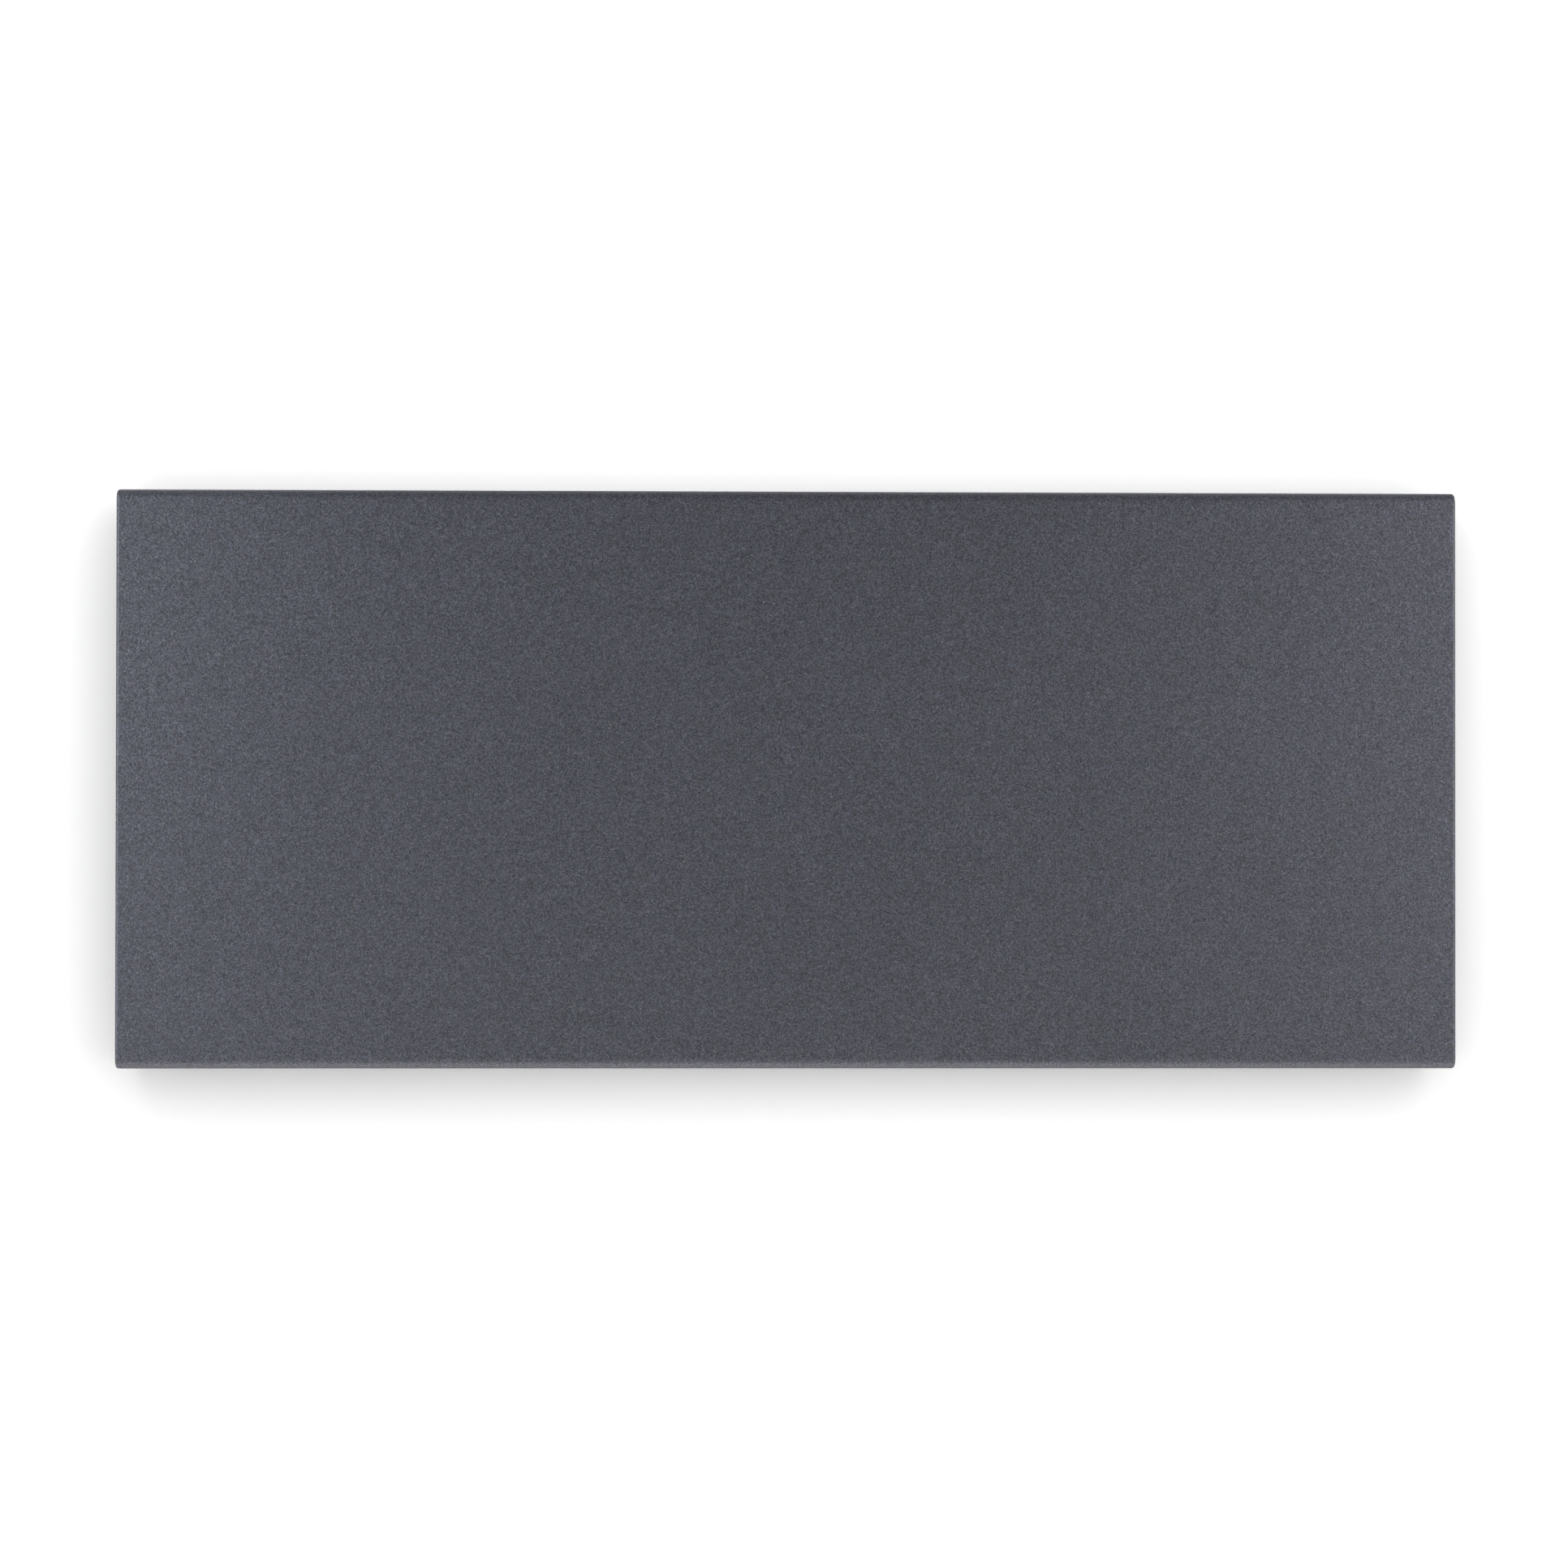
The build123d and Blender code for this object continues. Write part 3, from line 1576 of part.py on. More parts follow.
def sensor_lead():
    side_x = cap_inner - connector_height
    return wire(
        "sensor lead", sensor_lead_radius,
        (sensor_x, sensor_out, sensor_top), (sensor_x, sensor_out, sensor_top + terminal_run),
        (side_x, column_out, sensor_top + terminal_run + lead_rise),
        (side_x, column_out, connector_run_z - lead_rise),
        (sensor_connector, connector_out, connector_run_z),
        (sensor_connector, connector_out, power_board_bottom),
    )


save("bracket_right_upright", bracket_upright())
save("bracket_left_upright", mirrored(bracket_upright()))
save("bracket_upper_rail", bracket_rail(rail_z))
save("bracket_lower_rail", bracket_rail(-rail_z))
save("bracket_rivets", *[solid for rivet in bracket_rivets() for solid in both_sides(rivet)])
save("hinge_pins", *both_sides(hinge_pin()))
save("bracket_bumpers", *both_sides(bumper(bumper_z)), *both_sides(bumper(-bumper_z)))

save("front_panel", front_panel())
save("front_stiffeners", *both_sides(stiffener()))
save("rear_cover", rear_cover())
save("outlet_grille", outlet_grille())
save("inlet_grille", inlet_grille())
save("right_end_cap", right_end_cap())
save("left_end_cap", mirrored(end_cap()))
save("rear_screws", *[rear_screw(x, z) for x, z in rear_screw_places()])
save("panel_screws", *both_sides(panel_screw(0) - slot_in_panel_screw()))
save("right_hinge_hook", hinge_hook())
save("left_hinge_hook", mirrored(hinge_hook()))
save("right_catch_clip", catch_clip())
save("left_catch_clip", mirrored(catch_clip()))
save("cover_rivets", *cover_rivets())

save("heat_shield", heat_shield())
save("element_fins", element_fins())
save("heating_tube", heating_tube())
save("element_insulators", element_insulator(tube_left, 1), element_insulator(tube_right, -1))
save("element_terminals", element_terminal(tube_left, -1), element_terminal(tube_right, 1))
save(
    "element_brackets",
    element_bracket(bracket_web_x[0], 1), element_bracket(bracket_web_x[1], -1),
)
save("element_screws", *element_screws())
save("thermal_cutout", thermal_cutout())
save("cutout_clip", cutout_clip())

save("electrics_partition", electrics_partition())
save("partition_grommets", *[grommet(out, z) for out, z in grommet_places])
save("cable_gland", cable_gland())
save("gland_nut", gland_nut())
save("terminal_block", terminal_block())
save("earth_screw", *earth_screw())
save("rocker_housing", rocker_housing())
save("rocker_terminals", *rocker_blades())
save("rocker_button", rocker_button())
save("control_fascia", control_fascia())
save("control_housing", control_housing())
save("display_window", display_window())
save("display_board", display_board())
save("display_module", display_module())
save("tact_switches", *[tact_switch(x) for x in button_xs])
save("power_board", power_board())
save("board_connectors", board_connectors())
save("relay", relay())
save("supply_parts", *supply_parts())
save("wireless_module", wireless_module())
save("room_sensor", room_sensor())
for button_name, button_x in zip(button_names, button_xs):
    save(button_name, press_button(button_x))

save("live_wires", *live_wires())
save("neutral_wire", neutral_wire())
save("earth_wire", earth_wire())
save("element_leads", *element_leads())
save("sensor_lead", sensor_lead())
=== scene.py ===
import json
import math

import bpy
import numpy as np
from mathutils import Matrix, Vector

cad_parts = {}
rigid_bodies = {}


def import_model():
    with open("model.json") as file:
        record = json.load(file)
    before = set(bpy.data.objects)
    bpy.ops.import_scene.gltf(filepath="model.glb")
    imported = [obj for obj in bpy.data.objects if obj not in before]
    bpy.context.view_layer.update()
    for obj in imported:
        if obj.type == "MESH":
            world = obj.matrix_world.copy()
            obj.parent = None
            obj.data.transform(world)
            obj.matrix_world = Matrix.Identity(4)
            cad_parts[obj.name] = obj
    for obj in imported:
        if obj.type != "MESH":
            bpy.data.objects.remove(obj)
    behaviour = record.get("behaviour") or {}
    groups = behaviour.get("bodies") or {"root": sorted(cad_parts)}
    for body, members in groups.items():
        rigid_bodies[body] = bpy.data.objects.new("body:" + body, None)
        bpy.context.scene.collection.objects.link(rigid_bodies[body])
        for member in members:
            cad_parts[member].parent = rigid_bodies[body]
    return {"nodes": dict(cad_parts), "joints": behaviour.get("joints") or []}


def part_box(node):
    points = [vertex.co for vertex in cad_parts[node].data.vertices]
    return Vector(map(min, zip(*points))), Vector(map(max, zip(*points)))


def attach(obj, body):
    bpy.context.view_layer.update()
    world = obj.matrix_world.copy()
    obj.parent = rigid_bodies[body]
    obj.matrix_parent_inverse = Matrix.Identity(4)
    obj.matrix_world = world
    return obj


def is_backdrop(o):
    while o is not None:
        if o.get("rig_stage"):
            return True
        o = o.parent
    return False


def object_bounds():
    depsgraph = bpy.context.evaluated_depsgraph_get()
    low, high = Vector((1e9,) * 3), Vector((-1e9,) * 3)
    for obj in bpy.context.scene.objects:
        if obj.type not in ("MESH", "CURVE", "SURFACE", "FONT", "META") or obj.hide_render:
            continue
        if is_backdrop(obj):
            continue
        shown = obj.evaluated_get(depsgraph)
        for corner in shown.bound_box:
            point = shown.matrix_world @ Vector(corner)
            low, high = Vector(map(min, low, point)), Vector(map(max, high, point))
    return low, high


# A wall-mounted electric radiator: its constructed solids get finishes and printed marks, and a wall, a
# floor, lamps and a camera stand round them. All lengths are in metres.
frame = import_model()
cadLow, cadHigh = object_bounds()
middle = (cadLow + cadHigh) / 2
nodes = frame["nodes"]
joints = {joint["name"]: joint for joint in frame["joints"]}
print("frame loaded,", len(nodes), "nodes")


# Helpers for node trees

white = (1.0, 1.0, 1.0, 1.0)
noiseMean = 0.5  # what a noise or a random value averages


# One node with its settings and its inputs, where an input is a number, a colour or another socket
def place(tree, kind, inputs=None, **settings):
    node = tree.nodes.new(kind)
    for name, value in settings.items():
        setattr(node, name, value)
    for name, value in (inputs or {}).items():
        if isinstance(value, bpy.types.NodeSocket):
            tree.links.new(value, node.inputs[name])
        else:
            node.inputs[name].default_value = value
    return node


# One step of arithmetic
def number(tree, operation, first, second=0.5, third=0.5, clamp=False):
    inputs = {0: first, 1: second, 2: third}
    return place(tree, "ShaderNodeMath", inputs, operation=operation, use_clamp=clamp).outputs[0]


# A value carried from the range low to high over to the range toLow to toHigh, and held inside it
def between(tree, value, low, high, toLow=0.0, toHigh=1.0):
    inputs = {"Value": value, "From Min": low, "From Max": high, "To Min": toLow, "To Max": toHigh}
    return place(tree, "ShaderNodeMapRange", inputs, clamp=True).outputs["Result"]


# 1 plus contrast times how far a value lies from its centre
def aboutOne(tree, value, centre, contrast):
    return number(tree, "MULTIPLY_ADD", number(tree, "SUBTRACT", value, centre), contrast, 1.0)


# Two colours mixed, where the share is that of the second
def blendColours(tree, share, first, second, how="MIX"):
    inputs = {0: share, 6: first, 7: second}
    return place(tree, "ShaderNodeMix", inputs, data_type="RGBA", blend_type=how).outputs[2]


# A colour times the grey of a shade
def shaded(tree, colour, shade):
    grey = place(tree, "ShaderNodeCombineColor", {0: shade, 1: shade, 2: shade}).outputs[0]
    return blendColours(tree, 1.0, colour, grey, "MULTIPLY")


# A vector or a colour times a number
def scaled(tree, vector, factor):
    return place(tree, "ShaderNodeVectorMath", {0: vector, "Scale": factor}, operation="SCALE").outputs[0]


def rgba(colour):
    return (*colour, 1.0)


# Where a point lies in its piece, in metres
def objectPlace(tree):
    return place(tree, "ShaderNodeTexCoord").outputs["Object"]


# A noise with about scale waves to the metre
def noise(tree, where, scale, detail, **more):
    inputs = {"Vector": where, "Scale": scale, "Detail": detail, **more}
    return place(tree, "ShaderNodeTexNoise", inputs).outputs[0]


# Cells, about scale of them to the metre
def cellsAt(tree, where, scale, distance="EUCLIDEAN"):
    inputs = {"Vector": where, "Scale": scale}
    return place(tree, "ShaderNodeTexVoronoi", inputs, feature="F1", distance=distance).outputs


# A roughness that follows a pattern. The spread is the pattern's own range, and how far below and above
# the usual roughness it goes there.
def unevenRoughness(tree, pattern, usual, spread):
    low, high, below, above = spread
    return between(tree, pattern, low, high, usual - below, usual + above)


# The normal of a fine relief, where depth is how far a height of 1 stands out, in metres
def reliefNormal(tree, height, strength, depth, normal=None):
    inputs = {"Height": height, "Strength": strength, "Distance": depth}
    if normal is not None:
        inputs["Normal"] = normal
    return place(tree, "ShaderNodeBump", inputs).outputs[0]


# An empty shared effect, with the numbers that it takes, at their defaults, and what it gives
def newGroup(name, takes, gives):
    group = bpy.data.node_groups.new(name, "ShaderNodeTree")
    for label, value in takes.items():
        socket = group.interface.new_socket(label, in_out="INPUT", socket_type="NodeSocketFloat")
        socket.default_value = value
    for label, kind in gives.items():
        group.interface.new_socket(label, in_out="OUTPUT", socket_type="NodeSocket" + kind)
    return group, group.nodes.new("NodeGroupInput").outputs, group.nodes.new("NodeGroupOutput").inputs


# A shared effect placed in a material, with the material's own values
def useGroup(tree, group, **inputs):
    return place(tree, "ShaderNodeGroup", inputs, node_tree=group).outputs


# Shared effects. In all the values below, a noise such as drift or stain has its scale and its detail, a
# range its two ends, and shades the two ends of a pattern and the shade at each.

# Specks of a powder coat: cells a fraction of a millimetre wide, each with its own grey and hue, the low
# bumps between them, which are a little wider, and a slow drift where the powder lies thicker or thinner.
# The grey is partly the flakes' own tone and partly painted shade and glint: the colour is made lighter
# on the raised bumps and darker in the low places between them.
speckValues = {"bumpScale": 0.6, "bumpDetail": 1.5, "bumpRange": (0.25, 0.75), "bumpShare": 0.45,
               "drift": (9.0, 3.0), "cellHeight": 0.25}


def makeSpeckGroup(values):
    group, takes, gives = newGroup(
        "coatSpecksAndPaintedShade", {"Size": 0.0006, "Contrast": 1.0, "Hue": 0.1, "Cloud": 0.1},
        {"Tint": "Color", "Height": "Float"})
    where = objectPlace(group)
    scale = number(group, "DIVIDE", 1.0, takes["Size"])
    cells = cellsAt(group, where, scale)
    wider = number(group, "MULTIPLY", scale, values["bumpScale"])
    bumps = between(group, noise(group, where, wider, values["bumpDetail"]), *values["bumpRange"])
    grey = place(group, "ShaderNodeTexWhiteNoise", {"Vector": cells["Position"]}).outputs["Value"]
    mixed = between(group, values["bumpShare"], 0.0, 1.0, grey, bumps)
    # shade = e to the power of contrast times how far the mixture is from its mean, so no speck is black.
    # Since the mixture follows the relief, the shade is partly painted shade in the hollows and painted
    # glint on the rises
    power = number(group, "MULTIPLY", number(group, "SUBTRACT", mixed, noiseMean), takes["Contrast"])
    cloudy = number(group, "MULTIPLY_ADD", noise(group, where, *values["drift"]), takes["Cloud"], 1.0)
    shade = number(group, "MULTIPLY", number(group, "EXPONENT", power), cloudy)
    hues = scaled(group, cells["Color"], 1.0 / noiseMean)
    tint = scaled(group, blendColours(group, takes["Hue"], white, hues), shade)
    group.links.new(tint, gives["Tint"])
    group.links.new(number(group, "MULTIPLY_ADD", grey, values["cellHeight"], bumps), gives["Height"])
    return group


# Rounded edges: the normal of a small fillet, and a mask of it that is worn in patches
edgeValues = {"samples": 6, "turnedRange": (0.99, 0.8), "patches": (420.0, 4.0),
              "patchRange": (0.45, 0.65)}


def makeEdgeGroup(values):
    group, takes, gives = newGroup(
        "softEdges", {"Radius": 0.0003, "Wear": 1.0}, {"Normal": "Vector", "Mask": "Float"})
    bevel = place(group, "ShaderNodeBevel", {"Radius": takes["Radius"]}, samples=values["samples"])
    fillet = bevel.outputs[0]
    facing = place(group, "ShaderNodeNewGeometry").outputs["Normal"]
    likeness = place(group, "ShaderNodeVectorMath", {0: fillet, 1: facing}, operation="DOT_PRODUCT")
    turned = between(group, likeness.outputs["Value"], *values["turnedRange"])
    patchy = between(group, noise(group, objectPlace(group), *values["patches"]), *values["patchRange"])
    worn = number(group, "MULTIPLY", number(group, "MULTIPLY", turned, patchy), takes["Wear"])
    group.links.new(fillet, gives["Normal"])
    group.links.new(worn, gives["Mask"])
    return group


# Zinc spangle: crystals of different grey, ragged where they meet, under slow stains and a fine grain
spangleValues = {"raggedDetail": 3.0, "raggedReach": 0.004, "stain": (14.0, 5.0), "fine": (900.0, 2.0),
                 "fineShare": 0.35, "crystalShare": 0.5, "glossReach": 0.14}


def makeSpangleGroup(values):
    group, takes, gives = newGroup(
        "zincSpangle", {"Size": 0.008, "Contrast": 0.3}, {"Shade": "Float", "Gloss": "Float"})
    where = objectPlace(group)
    scale = number(group, "DIVIDE", 1.0, takes["Size"])
    wander = place(group, "ShaderNodeTexNoise",
                   {"Vector": where, "Scale": scale, "Detail": values["raggedDetail"]}).outputs["Color"]
    shift = scaled(group, wander, values["raggedReach"])
    ragged = place(group, "ShaderNodeVectorMath", {0: where, 1: shift}, operation="ADD").outputs[0]
    cells = cellsAt(group, ragged, scale)
    crystal = place(group, "ShaderNodeSeparateColor", {0: cells["Color"]}).outputs
    stain = number(group, "MULTIPLY", noise(group, where, *values["stain"]), 1.0 - values["fineShare"])
    fine = noise(group, where, *values["fine"])
    grain = number(group, "MULTIPLY_ADD", fine, values["fineShare"], stain)
    mixed = number(group, "MULTIPLY_ADD", crystal[0], values["crystalShare"], grain)
    mean = noiseMean * (1.0 + values["crystalShare"])
    group.links.new(aboutOne(group, mixed, mean, takes["Contrast"]), gives["Shade"])
    reach = values["glossReach"]
    group.links.new(number(group, "MULTIPLY_ADD", crystal[1], reach, -noiseMean * reach), gives["Gloss"])
    return group


# Rolling or turning lines: a noise drawn out along one axis of the piece, with faint blotches
lineValues = {"detail": 4.0, "roughness": 0.65, "lineShare": 0.7, "blotch": (60.0, 3.0)}


def makeLinesGroup(values):
    group, takes, gives = newGroup(
        "drawnLines", {"X": 1.0, "Y": 1.0, "Z": 1.0, "Contrast": 0.2},
        {"Shade": "Float", "Height": "Float"})
    where = objectPlace(group)
    stretch = place(group, "ShaderNodeCombineXYZ", {axis: takes[axis] for axis in "XYZ"}).outputs[0]
    drawn = place(group, "ShaderNodeVectorMath", {0: where, 1: stretch}, operation="MULTIPLY").outputs[0]
    lines = noise(group, drawn, 1.0, values["detail"], Roughness=values["roughness"])
    blotch = number(group, "MULTIPLY", noise(group, where, *values["blotch"]), 1.0 - values["lineShare"])
    both = number(group, "MULTIPLY_ADD", lines, values["lineShare"], blotch)
    group.links.new(aboutOne(group, both, noiseMean, takes["Contrast"]), gives["Shade"])
    group.links.new(lines, gives["Height"])
    return group


# Moulded grain: a fine spark-eroded texture, with faint flow clouds in the colour
grainValues = {"detail": 3.0, "flow": (55.0, 4.0), "flowDistortion": 0.8}


def makeGrainGroup(values):
    group, takes, gives = newGroup(
        "mouldGrain", {"Size": 0.0004, "Contrast": 0.1}, {"Shade": "Float", "Height": "Float"})
    where = objectPlace(group)
    grain = noise(group, where, number(group, "DIVIDE", 1.0, takes["Size"]), values["detail"])
    flow = noise(group, where, *values["flow"], Distortion=values["flowDistortion"])
    both = number(group, "ADD", grain, flow)
    group.links.new(aboutOne(group, both, 2 * noiseMean, takes["Contrast"]), gives["Shade"])
    group.links.new(grain, gives["Height"])
    return group


# Dust: settles in drifts on what faces up
dustValues = {"colour": (0.36, 0.35, 0.33), "flatRange": (0.5, 1.0), "drifts": (40.0, 8.0),
              "driftRoughness": 0.7, "driftRange": (0.35, 0.7)}


def makeDustGroup(values):
    group, takes, gives = newGroup("settledDust", {"Amount": 0.2}, {"Mask": "Float"})
    facing = place(group, "ShaderNodeNewGeometry").outputs["Normal"]
    up = place(group, "ShaderNodeSeparateXYZ", {0: facing}).outputs["Z"]
    flat = between(group, up, *values["flatRange"])
    drifts = noise(group, objectPlace(group), *values["drifts"], Roughness=values["driftRoughness"])
    settled = number(group, "MULTIPLY", flat, between(group, drifts, *values["driftRange"]))
    group.links.new(number(group, "MULTIPLY", settled, takes["Amount"]), gives["Mask"])
    return group


coatSpecksAndPaintedShade = makeSpeckGroup(speckValues)
softEdges = makeEdgeGroup(edgeValues)
zincSpangle = makeSpangleGroup(spangleValues)
drawnLines = makeLinesGroup(lineValues)
mouldGrain = makeGrainGroup(grainValues)
settledDust = makeDustGroup(dustValues)
print("shared effects made")


# Finishes. The values of each stand under its name, and those that its whole kind shares come after.

# A material whose shader has the plain values that the dictionary holds
def newFinish(name, values):
    material = bpy.data.materials.new(name)
    material.use_nodes = True
    tree = material.node_tree
    shader = tree.nodes["Principled BSDF"]
    for socket in ("Metallic", "IOR", "Transmission Weight"):
        if socket in values:
            shader.inputs[socket].default_value = values[socket]
    return material, tree, shader


# Links what changes over the surface to the shader
def feed(tree, shader, colour, rough=None, normal=None):
    for name, value in (("Base Color", colour), ("Roughness", rough), ("Normal", normal)):
        if value is not None:
            tree.links.new(value, shader.inputs[name])


# A colour with some dust on it
def dusted(tree, colour, amount):
    dust = useGroup(tree, settledDust, Amount=amount)
    return blendColours(tree, dust["Mask"], colour, rgba(dustValues["colour"]))


powderCoats = {
    "panel_coat": {"colour": (0.0552, 0.0575, 0.0711), "roughness": 0.44, "Metallic": 0.5,
                   "specks": 0.00057, "contrast": 1.9, "hue": 0.12, "cloud": 0.12, "bump": 0.7,
                   "edge": 0.0003, "wear": 0.1},
    "casing_coat": {"colour": (0.058, 0.059, 0.069), "roughness": 0.5, "Metallic": 0.35,
                    "specks": 0.0006, "contrast": 1.0, "hue": 0.08, "cloud": 0.15, "bump": 0.45,
                    "edge": 0.0002, "wear": 0.2},
    "grille_coat": {"colour": (0.052, 0.053, 0.062), "roughness": 0.4, "Metallic": 0.35,
                    "specks": 0.0006, "contrast": 0.9, "hue": 0.08, "cloud": 0.1, "bump": 0.3,
                    "edge": 0.0002, "wear": 0.25},
}
powderValues = {"rubbed": (0.14, 0.14, 0.15), "dust": 0.06, "spread": (0.2, 1.0, 0.07, 0.09),
                "depth": 0.00012}


def powderCoat(name, values):
    material, tree, shader = newFinish(name, values)
    specks = useGroup(tree, coatSpecksAndPaintedShade, Size=values["specks"], Contrast=values["contrast"],
                      Hue=values["hue"], Cloud=values["cloud"])
    edges = useGroup(tree, softEdges, Radius=values["edge"], Wear=values["wear"])
    # the specks' tint is partly the flakes' own tone and partly painted shade and glint that follow the
    # relief
    coat = blendColours(tree, 1.0, rgba(values["colour"]), specks["Tint"], "MULTIPLY")
    rubbed = blendColours(tree, edges["Mask"], coat, rgba(powderValues["rubbed"]))
    height = specks["Height"]
    rough = unevenRoughness(tree, height, values["roughness"], powderValues["spread"])
    normal = reliefNormal(tree, height, values["bump"], powderValues["depth"], edges["Normal"])
    feed(tree, shader, dusted(tree, rubbed, powderValues["dust"]), rough, normal)
    return material


zincSheets = {
    "bracket_zinc": {"colour": (0.50, 0.51, 0.53), "roughness": 0.42, "Metallic": 0.9, "size": 0.007,
                     "contrast": 0.45, "edge": 0.00025},
    "folded_steel": {"colour": (0.52, 0.52, 0.53), "roughness": 0.38, "Metallic": 0.9, "size": 0.004,
                     "contrast": 0.3, "edge": 0.0002},
    "shield_metal": {"colour": (0.66, 0.67, 0.68), "roughness": 0.33, "Metallic": 0.95, "size": 0.0015,
                     "contrast": 0.2, "edge": 0.00015},
}
zincValues = {"lines": (30.0, 900.0, 900.0), "lineContrast": 0.1, "wear": 0.6,
              "rubbed": (0.72, 0.72, 0.73), "bump": 0.25, "depth": 0.00005}


def zincSheet(name, values):
    material, tree, shader = newFinish(name, values)
    x, y, z = zincValues["lines"]
    spangle = useGroup(tree, zincSpangle, Size=values["size"], Contrast=values["contrast"])
    lines = useGroup(tree, drawnLines, X=x, Y=y, Z=z, Contrast=zincValues["lineContrast"])
    edges = useGroup(tree, softEdges, Radius=values["edge"], Wear=zincValues["wear"])
    shade = number(tree, "MULTIPLY", spangle["Shade"], lines["Shade"])
    metal = shaded(tree, rgba(values["colour"]), shade)
    rubbed = blendColours(tree, edges["Mask"], metal, rgba(zincValues["rubbed"]))
    rough = number(tree, "ADD", spangle["Gloss"], values["roughness"])
    normal = reliefNormal(tree, lines["Height"], zincValues["bump"], zincValues["depth"],
                          edges["Normal"])
    feed(tree, shader, rubbed, rough, normal)
    return material


# Lines are waves to the metre along each axis: the fewer there are, the longer the lines run that way
workedMetals = {
    "fastener_steel": {"colour": (0.50, 0.51, 0.54), "stained": (0.60, 0.57, 0.48), "roughness": 0.34,
                       "Metallic": 0.95, "lines": (500.0, 500.0, 500.0), "contrast": 0.25,
                       "edge": 0.0001},
    "pin_steel": {"colour": (0.58, 0.58, 0.58), "stained": (0.52, 0.5, 0.47), "roughness": 0.3,
                  "Metallic": 1.0, "lines": (2600.0, 60.0, 60.0), "contrast": 0.2, "edge": 0.0002},
    "spring_steel": {"colour": (0.30, 0.31, 0.33), "stained": (0.24, 0.25, 0.33), "roughness": 0.36,
                     "Metallic": 0.95, "lines": (60.0, 1200.0, 1200.0), "contrast": 0.3,
                     "edge": 0.0002},
    "fin_aluminium": {"colour": (0.70, 0.70, 0.71), "stained": (0.6, 0.6, 0.6), "roughness": 0.36,
                      "Metallic": 0.95, "lines": (25.0, 1500.0, 1500.0), "contrast": 0.25,
                      "edge": 0.00015},
    "sheath_steel": {"colour": (0.36, 0.34, 0.32), "stained": (0.36, 0.28, 0.2), "roughness": 0.42,
                     "Metallic": 0.9, "lines": (25.0, 900.0, 900.0), "contrast": 0.3, "edge": 0.0001},
    "terminal_brass": {"colour": (0.66, 0.52, 0.25), "stained": (0.5, 0.36, 0.18), "roughness": 0.3,
                       "Metallic": 1.0, "lines": (700.0, 700.0, 700.0), "contrast": 0.25,
                       "edge": 0.0001},
}
workedValues = {"stains": (35.0, 4.0), "stainRange": (0.4, 0.75), "spread": (0.3, 0.7, 0.06, 0.08),
                "bump": 0.2, "depth": 0.00004}


def workedMetal(name, values):
    material, tree, shader = newFinish(name, values)
    x, y, z = values["lines"]
    lines = useGroup(tree, drawnLines, X=x, Y=y, Z=z, Contrast=values["contrast"])
    edges = useGroup(tree, softEdges, Radius=values["edge"])
    stains = noise(tree, objectPlace(tree), *workedValues["stains"])
    stained = blendColours(tree, between(tree, stains, *workedValues["stainRange"]),
                           rgba(values["colour"]), rgba(values["stained"]))
    rough = unevenRoughness(tree, lines["Height"], values["roughness"], workedValues["spread"])
    normal = reliefNormal(tree, lines["Height"], workedValues["bump"], workedValues["depth"],
                          edges["Normal"])
    feed(tree, shader, shaded(tree, stained, lines["Shade"]), rough, normal)
    return material


mouldings = {
    "cap_plastic": {"colour": (0.050, 0.051, 0.057), "roughness": 0.5, "size": 0.0005, "bump": 0.5,
                    "edge": 0.0004},
    "switch_plastic": {"colour": (0.018, 0.018, 0.02), "roughness": 0.22, "size": 0.002, "bump": 0.05,
                       "edge": 0.0003},
    "control_plastic": {"colour": (0.032, 0.032, 0.036), "roughness": 0.42, "size": 0.0005, "bump": 0.3,
                        "edge": 0.0003},
    "button_plastic": {"colour": (0.10, 0.10, 0.11), "roughness": 0.4, "size": 0.0006, "bump": 0.2,
                       "edge": 0.0002},
    "cutout_body": {"colour": (0.11, 0.09, 0.08), "roughness": 0.5, "size": 0.0008, "bump": 0.3,
                    "edge": 0.0002},
    "bumper_rubber": {"colour": (0.03, 0.03, 0.031), "roughness": 0.75, "size": 0.0007, "bump": 0.4,
                      "edge": 0.0003},
    "component_black": {"colour": (0.028, 0.028, 0.03), "roughness": 0.5, "size": 0.0006, "bump": 0.3,
                        "edge": 0.0002},
    "connector_plastic": {"colour": (0.06, 0.24, 0.11), "roughness": 0.4, "size": 0.0009, "bump": 0.1,
                          "edge": 0.0002},
    "block_plastic": {"colour": (0.74, 0.73, 0.69), "roughness": 0.45, "size": 0.0009, "bump": 0.15,
                      "edge": 0.0003},
    "display_face": {"colour": (0.012, 0.012, 0.013), "roughness": 0.2, "size": 0.003, "bump": 0.03,
                     "edge": 0.0002},
    "insulator_ceramic": {"colour": (0.80, 0.78, 0.72), "roughness": 0.6, "size": 0.0006, "bump": 0.35,
                          "edge": 0.0004},
}
mouldingValues = {"contrast": 0.16, "wear": 0.35, "rubbedShare": 0.75, "rubbedLift": 0.06, "dust": 0.05,
                  "spread": (0.3, 0.7, 0.04, 0.06), "depth": 0.00006}


def moulding(name, values):
    material, tree, shader = newFinish(name, values)
    grain = useGroup(tree, mouldGrain, Size=values["size"], Contrast=mouldingValues["contrast"])
    edges = useGroup(tree, softEdges, Radius=values["edge"], Wear=mouldingValues["wear"])
    body = shaded(tree, rgba(values["colour"]), grain["Shade"])
    share, lift = mouldingValues["rubbedShare"], mouldingValues["rubbedLift"]
    paler = rgba([share * part + lift for part in values["colour"]])
    rubbed = blendColours(tree, edges["Mask"], body, paler)
    height = grain["Height"]
    rough = unevenRoughness(tree, height, values["roughness"], mouldingValues["spread"])
    normal = reliefNormal(tree, height, values["bump"], mouldingValues["depth"], edges["Normal"])
    feed(tree, shader, dusted(tree, rubbed, mouldingValues["dust"]), rough, normal)
    return material


